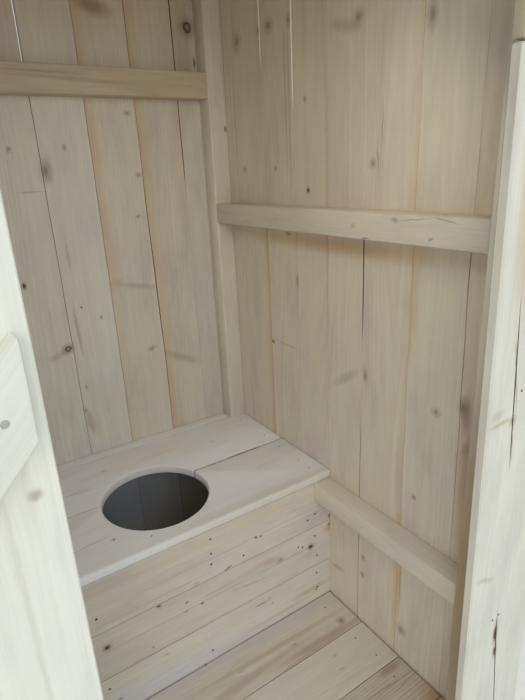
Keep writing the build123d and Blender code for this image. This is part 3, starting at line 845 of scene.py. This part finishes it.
hidden_wood = spruce("side_wall_spruce", chance_knots=0.45, figure=0.25, whitened=0.1)
left_faces = node_range("left_wall", "X")
left_chance = random.Random(61)
left_count = 8
left_width = (side_back - side_front) / left_count
left_seams = [straight(side_front)]
for number in range(1, left_count):
    place = side_front + number * left_width + left_chance.uniform(-0.006, 0.006)
    gap = left_chance.uniform(0.001, 0.0022)
    left_seams.append(straight(place, (0.3, gap), (1.4, 0.0012), (1.9, left_chance.uniform(0.001, 0.004))))
left_seams.append(straight(side_back))
left_tones = [(left_chance.uniform(0.96, 1.03), left_chance.uniform(0.0, 0.15), 1.0)
              for _ in range(left_count)]
boarded("left_wall", hidden_wood, "wall_boards", laid_boards(
    SIDE_WALL_LAY, left_seams, left_faces, wall_foot, sloped_top("left_wall"), left_tones, 62,
))

# Front. One wide board stands each side of the doorway, the right one pieced out of two
# lengths and split along its grain, with a board over the doorway and one under it.
front_face, front_inside = node_range("front_board_right", "Y")
jamb_top, front_right = node_range("front_board_right_upper", "X")
split_top = node_range("front_board_right", "Z")[1]
foot_sides = [corner.co.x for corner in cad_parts["front_board_right"].data.vertices
              if corner.co.z < wall_foot + 0.001]
jamb_line = leaning(((wall_foot, min(foot_sides)), (split_top, jamb_top)))
outer_line = leaning(((wall_foot, max(foot_sides)), (split_top, front_right)))
front_wood = spruce(
    "front_board_spruce",
    knots=(
        (407, 952, 5, 5, 0, 0.5), (441, 445, 5, 20, 4, 0.9), (448, 392, 4.5, 12, 4, 0.9),
    ),
    stains=(
        (372, 957, 36, 4.5, 3, 0.6, tint(204, 170, 142)), (441, 445, 2.2, 16, 4, 1.0, CRACK_SHADE),
        (400, 1040, 2.2, 70, 11.5, 0.7, BROWN_PATCH), (412, 910, 2.2, 50, 7, 0.7, BROWN_PATCH),
        (385, 1350, 30, 200, 0, 0.5, STRIPE_WOOD), (380, 618, 30, 6, -22, 0.35, SMUDGE),
        (360, 975, 20, 10, 10, 0.25, SMUDGE),
    ),
    chance_knots=0.12,
    figure=0.3,
    whitened=0.55,
    stained_to=front_face + FACE_DEPTH,
)
split = leaning(
    ((0.2, 0.4755), (0.45, 0.443), (0.85, 0.416), (1.16, 0.388), (1.5, 0.372)),
    (0.15, 0.002), (0.36, 0.003), (0.46, 0.004), (0.49, 0.0), (0.84, 0.0), (0.88, 0.002), (1.02, 0.004),
    (1.15, 0.0025), (1.17, 0.0), crack=True, dirt=((0.0, 0.8),),
)
lower_front = laid_boards(WALL_LAY, [jamb_line, split, outer_line], (front_face, front_inside),
                          wall_foot, split_top, ((0.95, 0.03, 0.6),), 70, arris=0.003)
fitted(lower_front, "front_board_right.board", front_wood, "hut", "front_boards", "front_board_right")
for seed, (node, lay, tone, wood) in enumerate((
    ("front_board_left", WALL_LAY, (1.0, 0.05, 0.7), front_wood),
    # The upper length of the right board is darker and browner than the lower: painted shade under the roof,
    # and dirt.
    ("front_board_right_upper", WALL_LAY, (0.74, 0.35, 0.9), hidden_wood),
    ("front_head", CROSS_LAY, (0.98, 0.08, 0.8), front_wood),
    ("threshold", CROSS_LAY, (0.96, 0.1, 0.8), front_wood),
), start=72):
    from_cad(node, lay, tone, seed, BOARD_ARRIS, wood, "front_boards", ".board")

# Roof. Three notched rafters fall to the back, boards lie across them, and planed boards
# are nailed round the edge.
wall_slope = sloped_top("left_wall")
fall = wall_slope(0.0) - wall_slope(1.0)
down_roof = Vector((0, 1, -fall)).normalized()
off_roof = ACROSS_HUT.cross(down_roof)
ROOF_LAY = Lay(NOWHERE, down_roof, off_roof, ACROSS_HUT)
RAFTER_LAY = Lay(NOWHERE, ACROSS_HUT, off_roof, down_roof)
EAVES_LAY = Lay(NOWHERE, off_roof, down_roof, ACROSS_HUT)
VERGE_LAY = Lay(NOWHERE, off_roof, ACROSS_HUT, down_roof)
roof_wood = spruce("roof_board_spruce", chance_knots=0.6, figure=0.55)
from_cad("rafters", RAFTER_LAY, (0.95, 0.12, 1.0), 80, SILL_ARRIS, frame_wood)
deck_count = 10
deck_chance = random.Random(81)
deck_tones = [(deck_chance.uniform(0.92, 1.0), deck_chance.uniform(0.05, 0.2), 1.0)
              for _ in range(deck_count)]
boarded("roof_deck", roof_wood, "roof_boards", laid_boards(
    ROOF_LAY, evenly(*span("roof_deck", down_roof), deck_count), span("roof_deck", off_roof),
    *node_range("roof_deck", "X"), deck_tones, 82,
))
for seed, (node, lay) in enumerate((
    ("fascia_front", EAVES_LAY),
    ("fascia_rear", EAVES_LAY),
    ("bargeboard_left", VERGE_LAY),
    ("bargeboard_right", VERGE_LAY),
), start=84):
    from_cad(node, lay, (1.0, 0.05, 0.8), seed, BOARD_ARRIS, roof_wood, "roof_boards", ".board")

# Roofing felt. Bitumen felt with a dark mineral face, folded down over the edge boards.
felt, tree, shader = new_material("mineral_felt")
place = add(tree, "TexCoord").outputs["Object"]
grit = noise(tree, place, 900.0)
patches = noise(tree, place, 5.0, 3.0)
colour = mixed(tree, ramped(tree, grit, 0.35, 0.65), tint(44, 47, 46), tint(92, 96, 92))
colour = mixed(tree, ramped(tree, patches, 0.4, 0.7, 0.0, 0.35), colour, tint(70, 76, 66))
fill(tree, shader, {"Base Color": colour, "Roughness": 0.92, "Normal": relief(tree, grit, 0.6, 0.0015)})
from_cad("roof_felt", ROOF_LAY, (1.0, 0.0, 1.0), 90, 0.001, felt, "roofing_felt", ".sheet")

# Bench. Studs and a panel of boards carry a seat of two planed boards with a rolled nose;
# a round hole is cut through both, and its rim is rolled too.
panel_wood = spruce(
    "bench_panel_spruce",
    knots=(
        (325, 385, 6, 7, 0, 0.9), (333, 277, 4, 7, 0, 0.5), (340, -223, 5.5, 6, 0, 0.8),
        (383, -88, 2.5, 4.5, 15, 0.75), (395, 110, 2.2, 3, 0, 0.7), (392, 103, 1.6, 2.2, 0, 0.7),
        (397, 117, 1.6, 2, 0, 0.7), (448, 200, 2.2, 3.5, 0, 0.85), (445, 215, 2, 3, 0, 0.7),
        (325, 26, 2, 3, 0, 0.6), (352, -15, 2, 3, 0, 0.6), (325, -20, 2, 3, 0, 0.5),
        (270, -117, 2, 3, 0, 0.5), (197, 243, 2, 3, 0, 0.5),
    ),
    stains=(
        (350, 235, 11, 45, 8, 0.5, tint(212, 176, 118)), (360, 455, 13, 20, 0, 0.7, tint(206, 150, 70)),
        (372, 458, 6, 7, 0, 1.0, CRACK_SHADE), (402, 457, 8, 4, 0, 1.0, CRACK_SHADE),
        (216, 203, 1.8, 16, 0, 1.0, CRACK_SHADE), (222, 233, 1.4, 5, 0, 1.0, CRACK_SHADE),
        (168, -215, 3, 8, 20, 1.0, CRACK_SHADE), (165, 380, 12, 80, 0, 0.35, BROWN_PATCH),
        (325, 320, 2, 90, 0, 0.6, SMUDGE), (328, -30, 2, 220, 0, 0.4, SMUDGE),
        (305, 180, 2, 80, 8, 0.5, SMUDGE), (345, 100, 2, 120, -3, 0.4, SMUDGE),
        (395, 15, 7, 10, 0, 0.45, SMUDGE), (223, -85, 3, 6, 0, 0.6, SMUDGE),
        (450, 100, 2, 260, -0.5, 0.5, SMUDGE), (410, -50, 3, 140, 0, 0.3, SMUDGE),
        (250, -50, 1.8, 200, 0, 0.45, SMUDGE), (400, 100, 220, 700, 0, 0.35, tint(232, 217, 212)),
        (140, -220, 50, 400, 0, 0.6, tint(228, 226, 236)), (510, 100, 30, 500, 0, 0.2, YELLOW_WOOD),
        (145, 300, 6, 140, 0, 0.3, BROWN_PATCH),
    ),
    chance_knots=0.0,
    figure=0.18,
    whitened=0.3,
    fine=90,
)
from_cad("bench_studs", WALL_LAY, (0.93, 0.1, 1.0), 100, 0.0015, frame_wood)
panel_low, panel_high = node_range("bench_panel", "Z")
panel_faces = node_range("bench_panel", "Y")
rail_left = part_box("seat_rail_left")[1].x
rail_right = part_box("seat_rail_right")[0].x
rail_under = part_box("seat_rail_right")[0].z
panel_tones = ((0.94, 0.0, 0.9), (0.9, 0.0, 1.0), (0.88, 0.02, 0.9))
panel_seams = [
    straight(panel_low),
    straight(0.2475, (0.0, 0.0009)),
    straight(0.388, (0.0, 0.0005)),
    straight(rail_under),
]
panel_ends = node_range("bench_panel", "X")
below_rails = laid_boards(CROSS_LAY, panel_seams, panel_faces, *panel_ends, panel_tones, 101)
between_rails = laid_boards(
    CROSS_LAY, [straight(rail_under, (0.0, 0.0)), straight(panel_high)], panel_faces,
    rail_left + 0.0005, rail_right - 0.0005, panel_tones[2:], 102, arris=0.0006,
)
boarded("bench_panel", panel_wood, "bench_panel", below_rails, between_rails)

seat_wood = spruce(
    "seat_spruce",
    stains=(
        (360, 268, 6, 12, 0, 0.3, GREY_SMUDGE), (85, -150, 5, 7, 0, 0.5, GREY_SMUDGE),
        (405, -75, 5, 7, 0, 0.4, GREY_SMUDGE), (15, 25, 4, 8, 0, 0.4, GREY_SMUDGE),
        (335, -170, 2.2, 50, 5, 0.4, SMUDGE), (100, -200, 2, 50, -6, 0.4, SMUDGE),
        (238.8, 300, 3.2, 200, 0, 1.0, tint(128, 92, 72)), (238.8, -300, 2.2, 200, 0, 0.6, SMUDGE),
        (380, 200, 50, 100, 0, 0.25, GREEN_WOOD), (410, 50, 60, 130, 0, 0.35, PINK_WOOD),
        # Painted shade: the front seat board's rolled nose, which faces the softbox, is darkened.
        (-5, 250, 40, 420, 0, 0.95, tint(208, 204, 199)),
    ),
    chance_knots=0.0,
    figure=0.4,
    # Painted light, partly: the bluish white wash stands for skylight on the seat's top as well as for the
    # wood's own pale colour.
    whitened=0.6,
    wash=tint(234, 241, 255),
)
# The seat boards and the rear seat rail are lightened beyond the other wood: partly their own pale colour,
# partly painted skylight on their tops.
for seed, node in enumerate(("seat_board_front", "seat_board_rear"), start=104):
    from_cad(node, FLAT_LAY, (1.27, -0.06, 0.9), seed, 0.0012, seat_wood, "seat_boards", ".board")
from_cad("seat_rail_rear", CROSS_LAY, (1.16, 0.1, 0.7), 20, BAR_ARRIS, seat_wood)

# Door. Five boards held by two ledges and a slanting brace, all planed, and whitened both for the pale wood
# and as painted daylight on the leaf. It hangs on the left and stands open, so its inside faces forwards.
PIN_SIDE = -0.33
PIN_CLEAR = 0.008
OPENED = math.radians(175)
BRACE_RUN = (0.614, -0.642)
hinge_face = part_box("front_board_left")[0].y
pin = Vector((PIN_SIDE, hinge_face - PIN_CLEAR, floor_top))
leaf_along = Vector((math.cos(OPENED), -math.sin(OPENED), 0))
leaf_outward = Vector((-math.sin(OPENED), -math.cos(OPENED), 0))
LEAF_LAY = Lay(pin, leaf_along, leaf_outward, UPWARDS)
LEDGE_LAY = Lay(pin, UPWARDS, leaf_outward, leaf_along)
door_wood = spruce(
    "door_spruce",
    stains=(
        (25.2, 1023, 5.5, 6, 0, 0.7, tint(166, 154, 150)), (30, 1200, 4, 300, 0, 0.15, SMUDGE),
        (50, 900, 3, 300, 0, 0.15, SMUDGE),
    ),
    chance_knots=0.2,
    figure=0.28,
    # The whitening is partly painted daylight on the leaf.
    whitened=0.7,
)
leaf_seams = evenly(*span("door_leaf", leaf_along, pin), 5)
leaf_tones = ((1.04, -0.05, 0.6), (1.0, 0.0, 0.8), (1.02, 0.02, 0.8), (0.99, 0.0, 0.9), (1.01, 0.02, 0.7))
leaf_boards = laid_boards(LEAF_LAY, leaf_seams, span("door_leaf", leaf_outward, pin),
                          *span("door_leaf", UPWARDS, pin), leaf_tones, 110, arris=0.0015)
boarded("door_leaf", door_wood, "door_boards", leaf_boards, body="door")
brace_run = (leaf_along * BRACE_RUN[0] + UPWARDS * BRACE_RUN[1]).normalized()
BRACE_LAY = Lay(pin, leaf_outward.cross(brace_run), leaf_outward, brace_run)
for seed, (node, lay, arris) in enumerate((
    ("door_ledges", LEDGE_LAY, 0.003),
    ("door_brace", BRACE_LAY, 0.003),
    ("door_pull", LEAF_LAY, 0.004),
), start=112):
    from_cad(node, lay, (1.02, 0.0, 0.7), seed, arris, door_wood, "door_boards", body="door")

# Hinges. Two strap hinges of dull black iron with patches of rust: each strap's knuckle
# sits between the two knuckles of its plate, on one pin.


def metal(name, fresh, rusted, patch, least, metallic=0.6):
    """Dull metal with patches of rust. The least noise that rusts tells how much is left."""
    material, tree, shader = new_material(name)
    place = add(tree, "TexCoord").outputs["Object"]
    rust = ramped(tree, noise(tree, place, patch, 5.0, 0.65), least, least + 0.18)
    wear = noise(tree, place, patch * 9)
    colour = mixed(tree, ramped(tree, wear, 0.35, 0.7, 0.0, 0.25), fresh, tint(170, 166, 160))
    fill(tree, shader, {
        "Base Color": mixed(tree, rust, colour, rusted),
        "Roughness": calc(tree, "MULTIPLY_ADD", rust, 0.35, 0.5),
        "Metallic": calc(tree, "MULTIPLY_ADD", rust, -metallic, metallic),
        "Normal": relief(tree, wear, 0.3, 0.0003),
    })
    return material


black_iron = metal("black_hinge_iron", tint(58, 56, 54), tint(112, 68, 44), 26.0, 0.5)
zinc = metal("zinc_plated_steel", tint(186, 186, 180), tint(150, 140, 118), 60.0, 0.6, 0.8)
steel = metal("nail_steel", tint(74, 68, 62), tint(84, 54, 36), 35.0, 0.42)
for node, body in (("hinge_straps", "door"), ("hinge_plates", "hut")):
    from_cad(node, WALL_LAY, (1.0, 0.0, 1.0), 120, 0.0004, black_iron, "hinge_iron", ".iron", body, 1)

# Nails and screws. Round steel nails, dull with a little rust, hold every board, with two
# to a board at each bar; coach bolts hold the straps and broad clout nails the felt.
SUNK = 0.0006
CROWN_ANGLE = math.radians(50)
CROWN_SHARE = 0.72
FINE_NAIL = (0.0022, 0.001)
PANEL_NAIL = (0.0034, 0.001)
BOARD_NAIL = (0.0026, 0.0012)
DOOR_NAIL = (0.0028, 0.0012)
CLOUT_NAIL = (0.0045, 0.0011)
BRACE_SCREW = (0.0038, 0.0014)
PLATE_SCREW = (0.0042, 0.0016)
STRAP_BOLT = (0.0055, 0.0026)
PLATE_THICKNESS = 0.003


def nailing_group():
    """Geometry nodes that set one head on each point, turned to face the point's own way."""
    group = bpy.data.node_groups.new("nailing", "GeometryNodeTree")
    for name, way, kind in (
        ("Points", "INPUT", "Geometry"),
        ("Head radius", "INPUT", "Float"),
        ("Head height", "INPUT", "Float"),
        ("Metal", "INPUT", "Material"),
        ("Nails", "OUTPUT", "Geometry"),
    ):
        group.interface.new_socket(name, in_out=way, socket_type="NodeSocket" + kind)
    given = group.nodes.new("NodeGroupInput")
    result = group.nodes.new("NodeGroupOutput")
    crown = group.nodes.new("ShaderNodeMath")
    crown.operation = "MULTIPLY"
    crown.inputs[1].default_value = CROWN_SHARE
    head = group.nodes.new("GeometryNodeMeshCone")
    head.inputs["Vertices"].default_value = 14
    facing = group.nodes.new("GeometryNodeInputNamedAttribute")
    facing.data_type = "FLOAT_VECTOR"
    facing.inputs["Name"].default_value = "facing"
    turn = group.nodes.new("FunctionNodeAlignRotationToVector")
    turn.axis = "Z"
    placing = group.nodes.new("GeometryNodeInstanceOnPoints")
    realizing = group.nodes.new("GeometryNodeRealizeInstances")
    painting = group.nodes.new("GeometryNodeSetMaterial")
    for start, end in (
        (given.outputs["Head radius"], crown.inputs[0]),
        (crown.outputs[0], head.inputs["Radius Top"]),
        (given.outputs["Head radius"], head.inputs["Radius Bottom"]),
        (given.outputs["Head height"], head.inputs["Depth"]),
        (facing.outputs["Attribute"], turn.inputs["Vector"]),
        (given.outputs["Points"], placing.inputs["Points"]),
        (head.outputs["Mesh"], placing.inputs["Instance"]),
        (turn.outputs["Rotation"], placing.inputs["Rotation"]),
        (placing.outputs["Instances"], realizing.inputs["Geometry"]),
        (realizing.outputs["Geometry"], painting.inputs["Geometry"]),
        (given.outputs["Metal"], painting.inputs["Material"]),
        (painting.outputs["Geometry"], result.inputs["Nails"]),
    ):
        group.links.new(start, end)
    return group


nailing = nailing_group()


def drive(name, spots, head, metal, slot, body="hut"):
    """Nails at (place, facing) spots as one piece, each with a head of one radius and height."""
    cloud = bpy.data.meshes.new(name + ".points")
    cloud.from_pydata([tuple(place) for place, facing in spots], [], [])
    note_vectors(cloud, "facing", [tuple(facing) for place, facing in spots])
    holder = put(name + ".points", cloud)
    modifier = holder.modifiers.new("nailing", "NODES")
    modifier.node_group = nailing
    sockets = {item.name: item.identifier for item in nailing.interface.items_tree if item.in_out == "INPUT"}
    modifier[sockets["Head radius"]], modifier[sockets["Head height"]] = head
    modifier[sockets["Metal"]] = metal
    graph = bpy.context.evaluated_depsgraph_get()
    mesh = bpy.data.meshes.new_from_object(holder.evaluated_get(graph), depsgraph=graph)
    bpy.data.objects.remove(holder)
    smoothed(mesh, CROWN_ANGLE)
    fitted(mesh, name, metal, body, slot)


seat_top = node_range("seat_board_front", "Z")[1]
seat_nails = [(Vector((x, y, seat_top - SUNK)), UPWARDS) for x, y in (
    (0.42, 0.43), (0.425, 0.29), (0.42, 0.2), (0.42, 0.1), (0.418, 0.048), (-0.15, 0.085), (-0.07, 0.042),
    (-0.42, 0.43), (-0.42, 0.29), (-0.42, 0.2), (-0.42, 0.1),
)]
drive("seat_nails", seat_nails, FINE_NAIL, steel, "seat_boards")
panel_nails = [(Vector((x, panel_faces[0] + SUNK, z)), -INTO_HUT) for x, z in (
    (0.066, 0.508), (0.064, 0.464), (0.062, 0.432), (0.158, 0.41), (0.403, 0.433), (0.376, 0.422),
    (0.401, 0.356), (0.408, 0.282), (0.406, 0.218), (0.408, 0.163), (0.404, 0.155), (0.016, 0.118),
    (0.042, 0.152), (-0.235, 0.433), (-0.235, 0.215), (0.34, 0.345), (0.355, 0.338), (-0.42, 0.433),
    (-0.42, 0.356), (-0.42, 0.282), (-0.42, 0.163),
)]
drive("panel_nails", panel_nails, PANEL_NAIL, steel, "bench_panel")
floor_nails = [(Vector((x, y, floor_top - SUNK)), UPWARDS) for x, y in (
    (0.015, 0.002), (0.403, -0.038), (0.402, -0.172), (0.41, -0.245), (0.402, -0.318), (-0.403, -0.038),
    (-0.402, -0.172), (-0.41, -0.245), (-0.402, -0.318), (0.3, -0.48), (-0.3, -0.48),
)]
drive("floor_nails", floor_nails, FINE_NAIL, steel, "floor_boards")


def board_middles(seams):
    """The middle of each board between seams."""
    places = [level_at(seam.line, 1.0) for seam in seams]
    return [(first + second) / 2 for first, second in zip(places, places[1:])]


nail_chance = random.Random(130)
nail_rows = (0.045, 0.505, 1.262, 1.615)
NAIL_ASIDE = 0.028
wall_nails = []
for lay, face, facing, seams, rows in (
    (WALL_LAY, back_outside - SUNK, INTO_HUT, back_seams, nail_rows),
    (SIDE_WALL_LAY, right_faces[1] - SUNK, ACROSS_HUT, right_seams, nail_rows[:3]),
    (SIDE_WALL_LAY, left_faces[0] + SUNK, -ACROSS_HUT, left_seams, nail_rows[:3]),
):
    for row in rows:
        for middle in board_middles(seams):
            for aside in (-NAIL_ASIDE, NAIL_ASIDE):
                across = middle + aside + nail_chance.uniform(-0.005, 0.005)
                height = row + nail_chance.uniform(-0.008, 0.008)
                wall_nails.append((at(lay, across, face, height), facing))
drive("wall_nails", wall_nails, BOARD_NAIL, steel, "wall_boards")

front_nails = []
for x in (0.425, 0.445, -0.425, -0.445):
    for z in (0.05, 0.5, 1.0, 1.45, 1.6, 1.95, 2.04):
        across = x + nail_chance.uniform(-0.006, 0.006)
        height = z + nail_chance.uniform(-0.01, 0.01)
        front_nails.append((at(WALL_LAY, across, front_face + SUNK, height), -INTO_HUT))
for x in (-0.26, -0.09, 0.09, 0.26):
    for z in (0.045, 0.09, 1.93, 2.05):
        across = x + nail_chance.uniform(-0.01, 0.01)
        front_nails.append((at(WALL_LAY, across, front_face + SUNK, z), -INTO_HUT))
drive("front_nails", front_nails, BOARD_NAIL, steel, "front_boards")

FROM_END = 0.05
roof_nails = []
for node, facing, run in (
    ("fascia_front", -down_roof, ACROSS_HUT),
    ("fascia_rear", down_roof, ACROSS_HUT),
    ("bargeboard_left", -ACROSS_HUT, down_roof),
    ("bargeboard_right", ACROSS_HUT, down_roof),
):
    foot, face = span(node, off_roof)[0], span(node, facing)[1] - SUNK
    start, end = span(node, run)
    for number in range(5):
        along = start + FROM_END + (end - start - 2 * FROM_END) * number / 4
        for lift in (0.018, 0.036):
            roof_nails.append((run * along + facing * face + off_roof * (foot + lift), facing))
drive("roof_nails", roof_nails, BOARD_NAIL, steel, "roof_boards")

CLOUT_LIFT = 0.016
CLOUT_SUNK = 0.0012
CLOUT_GAP = 0.1
felt_foot = span("roof_felt", off_roof)[0] + CLOUT_LIFT
clout_nails = []
for facing, run in (
    (-down_roof, ACROSS_HUT),
    (down_roof, ACROSS_HUT),
    (-ACROSS_HUT, down_roof),
    (ACROSS_HUT, down_roof),
):
    face = span("roof_felt", facing)[1] - CLOUT_SUNK
    start, end = span("roof_felt", run)
    count = round((end - start) / CLOUT_GAP)
    for number in range(count):
        along = start + (end - start) * (number + 0.5) / count
        clout_nails.append((run * along + facing * face + off_roof * felt_foot, facing))
drive("clout_nails", clout_nails, CLOUT_NAIL, zinc, "roofing_felt")

ledge_levels = (0.4285, 1.5285)
ledge_face = span("door_ledges", leaf_outward, pin)[0] + SUNK
brace_screw = at(LEAF_LAY, 0.04, ledge_face, 1.103)
drive("brace_screw", [(brace_screw, -leaf_outward)], BRACE_SCREW, zinc, "door_boards", "door")
door_nails = []
for middle in board_middles(leaf_seams):
    for aside in (-0.03, 0.03):
        for level in ledge_levels:
            height = level + nail_chance.uniform(-0.012, 0.012)
            door_nails.append((at(LEAF_LAY, middle + aside, ledge_face, height), -leaf_outward))
drive("door_nails", door_nails, DOOR_NAIL, steel, "door_boards", "door")

strap_corners = [within(LEAF_LAY, corner.co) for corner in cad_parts["hinge_straps"].data.vertices]
strap_face = max(spot.y for spot in strap_corners if spot.x > 0.03)
strap_bolts = [(at(LEAF_LAY, along, strap_face, level), leaf_outward)
               for level in ledge_levels for along in (0.03, 0.1, 0.18, 0.26)]
drive("strap_bolts", strap_bolts, STRAP_BOLT, black_iron, "hinge_iron", "door")
plate_face = hinge_face - PLATE_THICKNESS
PLATE_MIDDLE = 0.0245
plate_screws = [(Vector((pin.x - PLATE_MIDDLE, plate_face, floor_top + level + lift)), -INTO_HUT)
                for level in ledge_levels for lift in (-0.036, 0.0, 0.036)]
drive("plate_screws", plate_screws, PLATE_SCREW, black_iron, "hinge_iron")

# Ground and backdrop, plain and pale, and soft light from the sky and from the front.
GROUND_REACH = 9.0
pale_ground, tree, shader = new_material("pale_ground")


def seen_rays(tree):
    """1 for the rays of the camera and of reflections, 0 for the rays that light the hut."""
    rays = add(tree, "LightPath")
    seen = calc(tree, "MAXIMUM", rays.outputs["Is Camera Ray"], rays.outputs["Is Glossy Ray"])
    return calc(tree, "MAXIMUM", seen, rays.outputs["Is Transmission Ray"])


colour = mixed(tree, seen_rays(tree), tint(214, 214, 208), tint(246, 240, 232))
fill(tree, shader, {"Base Color": colour, "Roughness": 0.9})
ground_mesh = bpy.data.meshes.new("ground")
ground_corners = [(x * GROUND_REACH, y * GROUND_REACH, 0) for x, y in ((-1, -1), (1, -1), (1, 1), (-1, 1))]
ground_mesh.from_pydata(ground_corners, [], [(0, 1, 2, 3)])
ground_mesh.materials.append(pale_ground)
ground = put("ground", ground_mesh)

sky = bpy.data.worlds.new("sky")
bpy.context.scene.world = sky
sky.use_nodes = True
tree = sky.node_tree
daylight = tree.nodes["Background"]
rise = add(tree, "SeparateXYZ", {0: add(tree, "TexCoord").outputs["Generated"]}).outputs[2]
fill(tree, daylight, {
    "Strength": calc(tree, "MULTIPLY_ADD", calc(tree, "MAXIMUM", rise, 0.0), 0.22, 0.72),
    "Color": mixed(tree, ramped(tree, rise, 0.05, 0.5), tint(250, 250, 250), tint(236, 248, 255)),
})
backdrop = add(tree, "Background", {"Color": tint(240, 241, 240), "Strength": 1.0})
choice = add(tree, "MixShader", {0: seen_rays(tree), 1: daylight.outputs[0], 2: backdrop.outputs[0]})
fill(tree, tree.nodes["World Output"], {"Surface": choice.outputs[0]})

for name, width, height, power, light_colour, spot, aim in (
    ("softbox", 3.0, 2.4, 39.0, (1.0, 0.965, 0.9), (-1.3, -3.6, 2.2), (0.1, 0.0, 0.9)),
    ("doorway_fill", 0.6, 0.3, 0.8, (1.0, 0.88, 0.72), (0.0, -0.36, 1.58), (0.05, 0.5, 0.6)),
):
    lamp_data = bpy.data.lights.new(name, "AREA")
    lamp_data.shape = "RECTANGLE"
    lamp_data.size = width
    lamp_data.size_y = height
    lamp_data.energy = power
    lamp_data.color = light_colour
    lamp = put(name, lamp_data)
    facing = (Vector(aim) - Vector(spot)).to_track_quat("-Z", "Y").to_matrix().to_4x4()
    lamp.matrix_world = Matrix.Translation(spot) @ facing
    lamp.visible_camera = False

bpy.context.view_layer.update()
